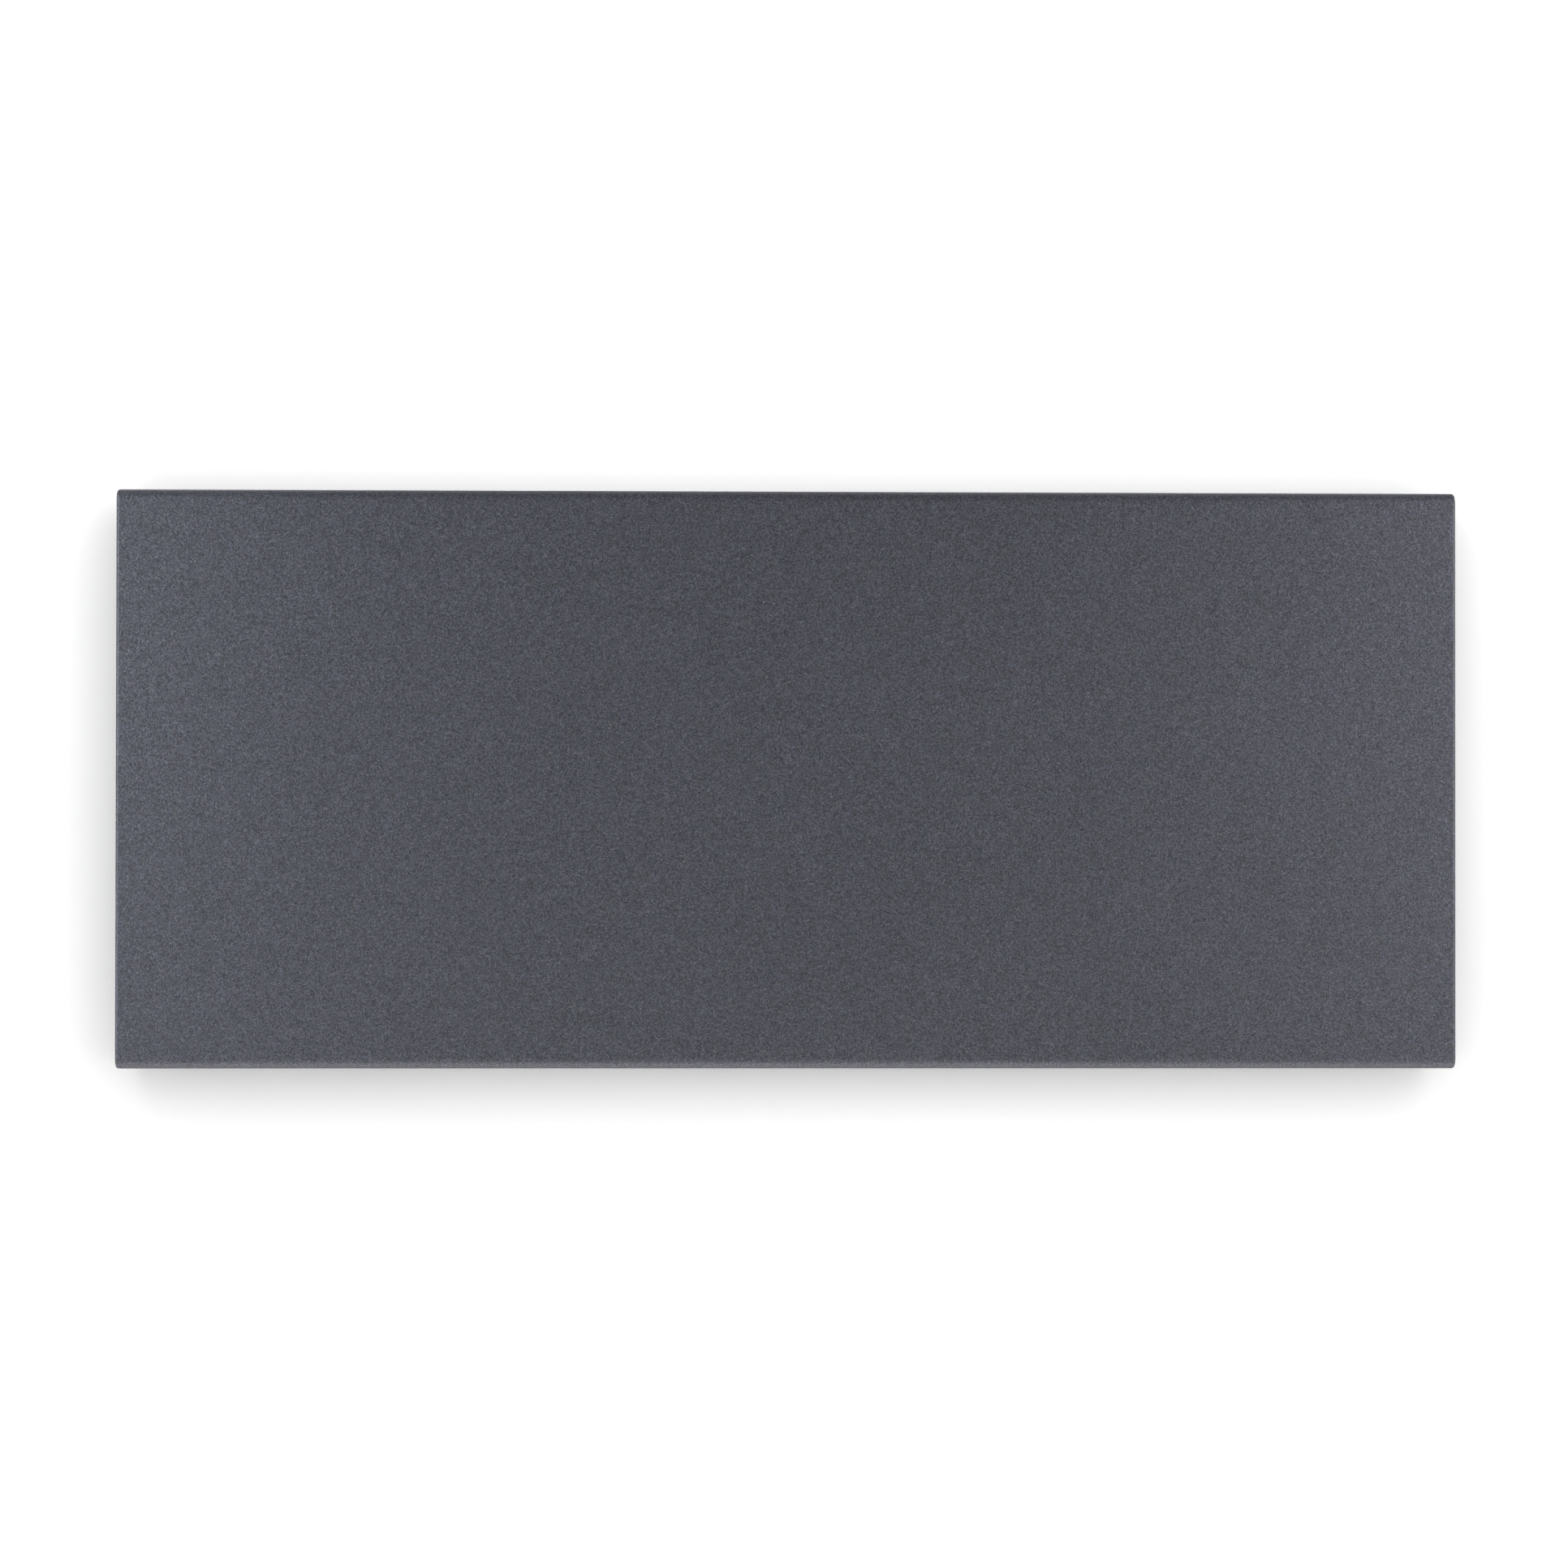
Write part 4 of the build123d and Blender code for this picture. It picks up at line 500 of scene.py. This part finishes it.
sleeves = {
    "live_insulation": {"colour": (0.20, 0.085, 0.04), "second": (0.17, 0.07, 0.035), "roughness": 0.35},
    "neutral_insulation": {"colour": (0.03, 0.14, 0.45), "second": (0.025, 0.12, 0.40),
                           "roughness": 0.35},
    "earth_insulation": {"colour": (0.62, 0.55, 0.06), "second": (0.06, 0.30, 0.08), "roughness": 0.35},
    "lead_insulation": {"colour": (0.70, 0.68, 0.62), "second": (0.62, 0.60, 0.55), "roughness": 0.6},
}
sleeveValues = {"size": 0.0006, "contrast": 0.2, "seam": 0.08, "spread": (0.3, 0.7, 0.05, 0.1),
                "bump": 0.2, "depth": 0.00005}


# A wire's sleeve, with the second colour along the half of it that faces one way
def sleeve(name, values):
    material, tree, shader = newFinish(name, values)
    facing = place(tree, "ShaderNodeNewGeometry").outputs["Normal"]
    across = place(tree, "ShaderNodeSeparateXYZ", {0: facing}).outputs["X"]
    half = between(tree, across, -sleeveValues["seam"], sleeveValues["seam"])
    striped = blendColours(tree, half, rgba(values["colour"]), rgba(values["second"]))
    grain = useGroup(tree, mouldGrain, Size=sleeveValues["size"], Contrast=sleeveValues["contrast"])
    rough = unevenRoughness(tree, grain["Height"], values["roughness"], sleeveValues["spread"])
    normal = reliefNormal(tree, grain["Height"], sleeveValues["bump"], sleeveValues["depth"])
    feed(tree, shader, shaded(tree, striped, grain["Shade"]), rough, normal)
    return material


# Smoked clear plastic, with the faint haze that handling leaves
windowValues = {"colour": (0.62, 0.62, 0.63), "roughness": 0.04, "Transmission Weight": 1.0, "IOR": 1.49,
                "haze": (160.0, 5.0), "shades": (0.2, 0.8, 0.96, 1.04), "spread": (0.4, 0.8, 0.0, 0.08),
                "edge": 0.0003}


def smokedWindow(name, values):
    material, tree, shader = newFinish(name, values)
    haze = noise(tree, objectPlace(tree), *values["haze"])
    smoke = shaded(tree, rgba(values["colour"]), between(tree, haze, *values["shades"]))
    rough = unevenRoughness(tree, haze, values["roughness"], values["spread"])
    feed(tree, shader, smoke, rough, useGroup(tree, softEdges, Radius=values["edge"])["Normal"])
    return material


# A circuit board: solder mask over tracks, which show as slightly raised paler bands. They lie round
# the middles of square cells, wherever the distance from there, folded to and fro, is near its most.
boardValues = {"colour": (0.02, 0.14, 0.055), "copper": (0.03, 0.2, 0.085), "pitch": 0.0035,
               "fold": 0.12, "trackRange": (0.05, 0.08), "fine": (700.0, 2.0), "roughness": 0.28,
               "spread": (0.3, 0.7, 0.05, 0.08), "bump": 0.4, "depth": 0.00005}


def circuitBoard(name, values):
    material, tree, shader = newFinish(name, values)
    where = objectPlace(tree)
    cells = cellsAt(tree, where, 1.0 / values["pitch"], distance="CHEBYCHEV")
    folded = number(tree, "PINGPONG", cells["Distance"], values["fold"])
    raised = between(tree, folded, *values["trackRange"])
    board = blendColours(tree, raised, rgba(values["colour"]), rgba(values["copper"]))
    fine = noise(tree, where, *values["fine"])
    rough = unevenRoughness(tree, fine, values["roughness"], values["spread"])
    feed(tree, shader, board, rough, reliefNormal(tree, raised, values["bump"], values["depth"]))
    return material


finishKinds = ((powderCoat, powderCoats), (zincSheet, zincSheets), (workedMetal, workedMetals),
               (moulding, mouldings), (sleeve, sleeves))
finishes = {name: make(name, values) for make, kind in finishKinds for name, values in kind.items()}
finishes["board_laminate"] = circuitBoard("board_laminate", boardValues)
finishes["window_plastic"] = smokedWindow("window_plastic", windowValues)
for node in nodes.values():
    for slot in node.material_slots:
        slot.material = finishes[slot.material.name.split(".")[0]]
print("finishes made:", len(finishes))


# The constructed solids: their loose faces are joined, and shaded smooth where they curve

smoothValues = {"mergeWithin": 0.00001, "sharpAbove": 28.0}  # metres and degrees


def makeSmoothing(values):
    group = bpy.data.node_groups.new("smoothCurves", "GeometryNodeTree")
    for side in ("INPUT", "OUTPUT"):
        group.interface.new_socket("Geometry", in_out=side, socket_type="NodeSocketGeometry")
    start = group.nodes.new("NodeGroupInput").outputs[0]
    merged = place(group, "GeometryNodeMergeByDistance",
                   {"Geometry": start, "Distance": values["mergeWithin"]})
    faces = place(group, "GeometryNodeSetShadeSmooth",
                  {"Geometry": merged.outputs[0], "Shade Smooth": True}, domain="FACE")
    angle = place(group, "GeometryNodeInputMeshEdgeAngle").outputs[0]
    sharp = place(group, "FunctionNodeCompare", {0: angle, 1: math.radians(values["sharpAbove"])},
                  operation="GREATER_THAN").outputs[0]
    edges = place(group, "GeometryNodeSetShadeSmooth",
                  {"Geometry": faces.outputs[0], "Selection": sharp, "Shade Smooth": False},
                  domain="EDGE")
    group.links.new(edges.outputs[0], group.nodes.new("NodeGroupOutput").inputs[0])
    return group


smoothing = makeSmoothing(smoothValues)
for node in nodes.values():
    node.modifiers.new("smooth curves", "NODES").node_group = smoothing
print("solids smoothed")


# Printed marks and display segments

# A thin pad along a line: a stadium outline of half width across, swept between the line's two ends.
# Parameter u goes round the outline, and v from its rim, up the small edge, to the middle of the top.
def padAlong(start, end, halfWidth, thickness, up, ends=8):
    start, end, up = (np.array(point, float) for point in (start, end, up))
    length = np.linalg.norm(end - start)
    along = (end - start) / length
    across = np.cross(up, along)
    half = np.linspace(-np.pi / 2, np.pi / 2, ends)
    u = np.concatenate([half, half + np.pi])[:, None]
    reached = np.repeat([length, 0.0], ends)[:, None]
    rimShares = [(1.0, 0.0), (1.0, 0.7), (0.93, 1.0)]
    points = [start + along * (reached + share * halfWidth * np.cos(u))
              + across * (share * halfWidth * np.sin(u)) + up * lift * thickness
              for share, lift in rimShares]
    count = len(u)
    index = np.arange(count * len(rimShares)).reshape(-1, count)
    following = np.roll(index, -1, 1)
    sides = np.stack([index[:-1], following[:-1], following[1:], index[1:]], -1).reshape(-1, 4)
    return np.concatenate(points), [index[0, ::-1], *sides, index[-1]]


# A thin ring: parameter u goes round it, and v round its small square section
def padRing(centre, radius, halfWidth, thickness, up, side, steps=36):
    centre, up, side = (np.array(point, float) for point in (centre, up, side))
    u = np.linspace(0, 2 * np.pi, steps, endpoint=False)[:, None]
    spoke = side * np.cos(u) + np.cross(up, side) * np.sin(u)
    sectionShares = [(1, 0.0), (1, 0.7), (0.8, 1.0), (-0.8, 1.0), (-1, 0.7), (-1, 0.0)]
    points = np.stack([centre + spoke * (radius + out * halfWidth) + up * lift * thickness
                       for out, lift in sectionShares], 1)
    index = np.arange(steps * len(sectionShares)).reshape(steps, -1)
    nextSpoke, nextCorner = np.roll(index, -1, 0), np.roll(index, -1, 1)
    faces = np.stack([index, nextSpoke, np.roll(nextSpoke, -1, 1), nextCorner], -1).reshape(-1, 4)
    return points.reshape(-1, 3), faces


# One mesh of several parts, which moves with a body
def makePiece(name, parts, finish, body):
    points, faces, count = [], [], 0
    for partPoints, partFaces in parts:
        points.append(partPoints)
        faces += [(face + count).tolist() for face in partFaces]
        count += len(partPoints)
    mesh = bpy.data.meshes.new(name)
    mesh.from_pydata(np.concatenate(points).tolist(), [], faces)
    mesh.materials.append(finish)
    mesh.update()
    piece = bpy.data.objects.new(name, mesh)
    bpy.context.scene.collection.objects.link(piece)
    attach(piece, body)


# Ink, a little thin where it is worn
printValues = {"markColour": (0.62, 0.62, 0.60), "segmentColour": (0.42, 0.43, 0.42), "roughness": 0.5,
               "wear": (2500.0, 3.0), "shades": (0.3, 0.75, 1.0, 0.86), "spread": (0.3, 0.7, 0.05, 0.05)}


def printFinish(name, colour, values):
    material, tree, shader = newFinish(name, values)
    worn = noise(tree, objectPlace(tree), *values["wear"])
    ink = shaded(tree, rgba(colour), between(tree, worn, *values["shades"]))
    feed(tree, shader, ink, unevenRoughness(tree, worn, values["roughness"], values["spread"]))
    return material


markFinish = printFinish("printed_mark", printValues["markColour"], printValues)
segmentFinish = printFinish("display_segment", printValues["segmentColour"], printValues)

# Marks on the buttons: a minus, a plus and a ring, printed on the crowns. The upright of the plus is two
# arms, whose round ends stop short of the bar by a hundredth of its half width.
buttonMarks = {"reach": 0.0019, "halfWidth": 0.00028, "armShare": 1.01, "ring": 0.0016,
               "thickness": 0.00003}


def markButtons(values):
    upwards = (0, 0, 1)
    reach, half, thick = values["reach"], values["halfWidth"], values["thickness"]
    foot = half * values["armShare"] + half
    for name in ("minus_button", "plus_button", "ok_button"):
        low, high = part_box(name)
        x, y, z = (low.x + high.x) / 2, (low.y + high.y) / 2, high.z
        bar = padAlong((x - reach, y, z), (x + reach, y, z), half, thick, upwards)
        if name == "minus_button":
            parts = [bar]
        elif name == "plus_button":
            parts = [bar, padAlong((x, y + foot, z), (x, y + reach, z), half, thick, upwards),
                     padAlong((x, y - foot, z), (x, y - reach, z), half, thick, upwards)]
        else:
            parts = [padRing((x, y, z), values["ring"], half, thick, upwards, (1, 0, 0))]
        makePiece(name.replace("button", "mark"), parts, markFinish, name)


markButtons(buttonMarks)

# Marks on the rocker: a bar on the upper half and a ring on the lower, each lying on its own slope.
# Rise is from the pivot to the fold between the halves, and at is from there to the middle of a mark.
rockerMarks = {"rise": 0.0022, "at": 0.0042, "barReach": 0.0011, "ring": 0.0012, "halfWidth": 0.00022,
               "thickness": 0.00003}


def markRocker(values, joint):
    half, thick = values["halfWidth"], values["thickness"]
    slope = math.radians(joint["range_deg"][1]) / 2  # each half slopes by half of the whole turn
    fold = np.array(joint["pos_m"]) + values["rise"] * np.array([math.cos(slope), 0, -math.sin(slope)])
    parts = []
    for side in (1, -1):
        # the half climbs away from the fold, and at rest the whole rocker is turned by the same angle
        lean = slope * side + slope
        outward = np.array([math.cos(lean), 0, -math.sin(lean)])
        along = np.array([math.sin(lean), 0, math.cos(lean)])
        centre = fold + side * values["at"] * along
        if side > 0:
            reach = along * values["barReach"]
            parts.append(padAlong(centre - reach, centre + reach, half, thick, outward))
        else:
            parts.append(padRing(centre, values["ring"], half, thick, outward, (0, 1, 0)))
    makePiece("rocker_marks", parts, markFinish, "rocker_button")


markRocker(rockerMarks, joints["rock_switch"])

# Display: two digits of seven unlit segments, set left of the middle, and a degree ring to their right,
# lying on the module's face
displayValues = {"digitHeight": 0.0072, "digitWidth": 0.0040, "pitch": 0.0068, "setLeft": 0.002,
                 "halfWidth": 0.00042, "gap": 0.00065, "lean": 0.10, "thickness": 0.00006,
                 "degree": 0.0007, "degreeGap": 0.0012, "degreeShare": 0.6}


def layDigits(values):
    low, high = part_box("display_module")
    middleX, middleY, top = (low.x + high.x) / 2, (low.y + high.y) / 2, high.z
    half, thick, upwards = values["halfWidth"], values["thickness"], (0, 0, 1)
    across, tall = values["digitWidth"] / 2, values["digitHeight"] / 2
    lines = [((-across, level), (across, level)) for level in (tall, 0, -tall)]
    lines += [((side * across, foot), (side * across, foot + tall))
              for side in (-1, 1) for foot in (-tall, 0)]
    parts = []
    for digit in (-0.5, 0.5):
        shift = digit * values["pitch"] - values["setLeft"]
        for start, end in np.array(lines):
            inward = (end - start) / np.linalg.norm(end - start) * values["gap"]
            first, last = ((middleX + x + values["lean"] * y + shift, middleY + y, top)
                           for x, y in (start + inward, end - inward))
            parts.append(padAlong(first, last, half, thick, upwards, ends=5))
    ring = (middleX + values["pitch"] + values["degreeGap"], middleY + tall - values["degree"], top)
    rim = half * values["degreeShare"]
    parts.append(padRing(ring, values["degree"], rim, thick, upwards, (1, 0, 0), steps=20))
    makePiece("display_digits", parts, segmentFinish, "heater")


layDigits(displayValues)
print("marks and digits laid")


# Stage, light and camera

stageValues = {"reach": 6.0, "wallGap": 0.0006, "wallWhite": 0.72, "floorDrop": 0.435,
               "floorColour": (0.62, 0.62, 0.61), "floorGlow": 0.6, "floorRoughness": 0.8,
               "floorShine": 0.1, "floorCloud": (3.0, 4.0), "floorShades": (0.3, 0.7, 0.98, 1.0),
               "fadeRange": (0.75, 1.3)}


def stagePlane(name, corners, material):
    mesh = bpy.data.meshes.new(name)
    mesh.from_pydata(corners, [], [(0, 1, 2, 3)])
    mesh.materials.append(material)
    plane = bpy.data.objects.new(name, mesh)
    bpy.context.scene.collection.objects.link(plane)
    plane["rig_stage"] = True


def mixShaders(tree, share, first, second):
    return place(tree, "ShaderNodeMixShader", {0: share, 1: first, 2: second}).outputs[0]


# Share of plain white, which grows with the distance from the middle of the object
def fadeOut(tree):
    inputs = {0: objectPlace(tree), 1: tuple(middle)}
    away = place(tree, "ShaderNodeVectorMath", inputs, operation="DISTANCE").outputs["Value"]
    return between(tree, away, *stageValues["fadeRange"])


# The wall is there for the camera's own view of its front, and lets every other ray pass, so that the
# back is lit and can be seen from behind. Two layers of its white are added, and the plain light brings
# them to white.
def wallMaterial():
    material, tree, shader = newFinish("wall", {})
    tree.nodes.remove(shader)
    layer = {"Color": rgba([stageValues["wallWhite"]] * 3)}
    layers = [place(tree, "ShaderNodeBsdfDiffuse", layer).outputs[0] for _ in range(2)]
    lit = place(tree, "ShaderNodeAddShader", {0: layers[0], 1: layers[1]}).outputs[0]
    plain = place(tree, "ShaderNodeEmission", {"Strength": 1.0}).outputs[0]
    clear = place(tree, "ShaderNodeBsdfTransparent").outputs[0]
    back = place(tree, "ShaderNodeNewGeometry").outputs["Backfacing"]
    seen = place(tree, "ShaderNodeLightPath").outputs["Is Camera Ray"]
    shown = number(tree, "SUBTRACT", seen, back, clamp=True)
    wall = mixShaders(tree, shown, clear, mixShaders(tree, fadeOut(tree), lit, plain))
    tree.links.new(wall, tree.nodes["Material Output"].inputs["Surface"])
    return material


# The floor keeps the shadow, and a soft glow that the camera and reflections see brings it to white.
# From below it is clear, so that the underside can be seen.
def floorMaterial():
    material, tree, shader = newFinish("floor", {})
    cloud = noise(tree, objectPlace(tree), *stageValues["floorCloud"])
    shade = between(tree, cloud, *stageValues["floorShades"])
    feed(tree, shader, shaded(tree, rgba(stageValues["floorColour"]), shade))
    path = place(tree, "ShaderNodeLightPath").outputs
    seen = number(tree, "MAXIMUM", path["Is Camera Ray"], path["Is Glossy Ray"])
    seen = number(tree, "MAXIMUM", seen, path["Is Transmission Ray"])
    glow = number(tree, "MULTIPLY", seen, stageValues["floorGlow"])
    tree.links.new(glow, shader.inputs["Emission Strength"])
    shader.inputs["Emission Color"].default_value = white
    shader.inputs["Roughness"].default_value = stageValues["floorRoughness"]
    shader.inputs["Specular IOR Level"].default_value = stageValues["floorShine"]
    plain = place(tree, "ShaderNodeEmission", {"Strength": 1.0}).outputs[0]
    clear = place(tree, "ShaderNodeBsdfTransparent").outputs[0]
    back = place(tree, "ShaderNodeNewGeometry").outputs["Backfacing"]
    faded = mixShaders(tree, number(tree, "MULTIPLY", fadeOut(tree), seen), shader.outputs[0], plain)
    tree.links.new(mixShaders(tree, back, faded, clear), tree.nodes["Material Output"].inputs["Surface"])
    return material


def setStage(values):
    foot, gap, reach = cadLow.z - values["floorDrop"], values["wallGap"], values["reach"]
    upright = [(-reach, foot), (reach, foot), (reach, reach), (-reach, reach)]
    square = [(-reach, -reach), (reach, -reach), (reach, reach), (-reach, reach)]
    stagePlane("wall", [(x, gap, z) for x, z in upright], wallMaterial())
    stagePlane("floor", [(x, y, foot) for x, y in square], floorMaterial())


setStage(stageValues)

# Each lamp has what it lights and whether it mirrors there. The side lamps and the low one mirror in the
# front panel alone: in the flat casing they would leave white glare at low angles.
panelMirrors = {"panel": True, "rest": False}
lampValues = {
    "leftLamp": {"at": (-1.05, -0.68, 0.25), "size": (0.4, 1.3), "watts": 13.6,
                 "colour": (0.95, 0.98, 1.0), "lights": panelMirrors},
    "rightLamp": {"at": (1.05, -0.68, 0.25), "size": (0.4, 1.3), "watts": 10.6,
                  "colour": (1.0, 0.98, 0.99), "lights": panelMirrors},
    "topLamp": {"at": (0.0, -1.1, 1.9), "size": (2.4, 0.9), "watts": 10.0, "colour": (1.0, 1.0, 1.0),
                "lights": {"object": False}},
    "lowLamp": {"at": (0.0, -0.14, -0.57), "size": (2.2, 0.36), "watts": 5.0, "colour": (1.0, 0.96, 0.9),
                "lights": panelMirrors, "towards": (0.0, -0.1, 0.0)},
    "backLamp": {"at": (0.0, 2.2, 0.9), "size": (2.0, 1.0), "watts": 16.0, "colour": (1.0, 1.0, 1.0),
                 "lights": {"everything": False}},
    "wallLamp": {"at": (0.1, -2.2, 0.18), "size": (2.3, 2.5), "watts": 36.5, "colour": (1.0, 1.0, 1.0),
                 "lights": {"stage": False}, "towards": (0.1, 0.0, 0.18)},
}


# An area lamp that lights only its receivers, or everything where it has none
def makeLamp(name, values, mirrors, receivers):
    light = bpy.data.lights.new(name, "AREA")
    light.shape = "RECTANGLE"
    light.size, light.size_y = values["size"]
    light.energy = values["watts"]
    light.color = values["colour"]
    lamp = bpy.data.objects.new(name, light)
    lamp.location = values["at"]
    aim = Vector(values.get("towards", middle)) - lamp.location
    lamp.rotation_euler = aim.to_track_quat("-Z", "Y").to_euler()
    lamp.visible_camera = False
    lamp.visible_glossy = mirrors
    lamp.visible_transmission = mirrors
    bpy.context.scene.collection.objects.link(lamp)
    if receivers is not None:
        lamp.light_linking.receiver_collection = receivers


# Sorts what the lamps can light into collections, and makes one lamp for each kind that a lamp lights
def makeLamps(lamps):
    lit = {kind: bpy.data.collections.new("lit " + kind)
           for kind in ("panel", "rest", "object", "stage")}
    for thing in bpy.context.scene.objects:
        if thing.type != "MESH":
            kinds = []
        elif thing.get("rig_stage"):
            kinds = ["stage"]
        else:
            kinds = ["object", "panel" if thing == nodes["front_panel"] else "rest"]
        for kind in kinds:
            lit[kind].objects.link(thing)
    for name, values in lamps.items():
        for kind, mirrors in values["lights"].items():
            makeLamp(name, values, mirrors, lit.get(kind))


makeLamps(lampValues)

# The room: an even light, white to the camera, a little less behind the smoked window, and in
# reflections darker overhead in front of the object than beside it, below it or behind it. The ranges
# are of the upward and the backward part of the direction.
roomValues = {"light": 0.45, "level": 0.55, "overhead": 0.12, "upRange": (0.1, 0.5), "behind": 1.0,
              "backRange": (0.0, 0.3), "through": 0.8, "white": 1.0}


def makeRoom(values):
    world = bpy.data.worlds.new("room")
    world.use_nodes = True
    tree = world.node_tree
    direction = place(tree, "ShaderNodeTexCoord").outputs["Generated"]
    parts = place(tree, "ShaderNodeSeparateXYZ", {0: direction}).outputs
    front = between(tree, parts["Z"], *values["upRange"], values["level"], values["overhead"])
    back = between(tree, parts["Y"], *values["backRange"])
    brighter = number(tree, "SUBTRACT", values["behind"], front)
    mirrored = number(tree, "ADD", front, number(tree, "MULTIPLY", back, brighter))
    path = place(tree, "ShaderNodeLightPath").outputs
    lit = between(tree, path["Is Glossy Ray"], 0.0, 1.0, values["light"], mirrored)
    passed = between(tree, path["Is Transmission Ray"], 0.0, 1.0, lit, values["through"])
    strength = between(tree, path["Is Camera Ray"], 0.0, 1.0, passed, values["white"])
    tree.nodes["Background"].inputs["Color"].default_value = white
    tree.links.new(strength, tree.nodes["Background"].inputs["Strength"])
    bpy.context.scene.world = world


makeRoom(roomValues)

cameraValues = {"at": (-0.0882, -3.0, -0.0366), "turn": (90.6647, -0.0726, -1.6772), "lens": 104.69,
                "sensor": 36.0, "clip": (0.05, 50.0)}


def setCamera(values):
    view = bpy.data.cameras.new("camera")
    view.lens = values["lens"]
    view.sensor_width = values["sensor"]
    view.clip_start, view.clip_end = values["clip"]
    camera = bpy.data.objects.new("camera", view)
    camera.location = values["at"]
    camera.rotation_euler = [math.radians(angle) for angle in values["turn"]]
    bpy.context.scene.collection.objects.link(camera)
    bpy.context.scene.camera = camera


setCamera(cameraValues)
bpy.context.scene.view_settings.view_transform = "Standard"
print("stage, lamps and camera set")
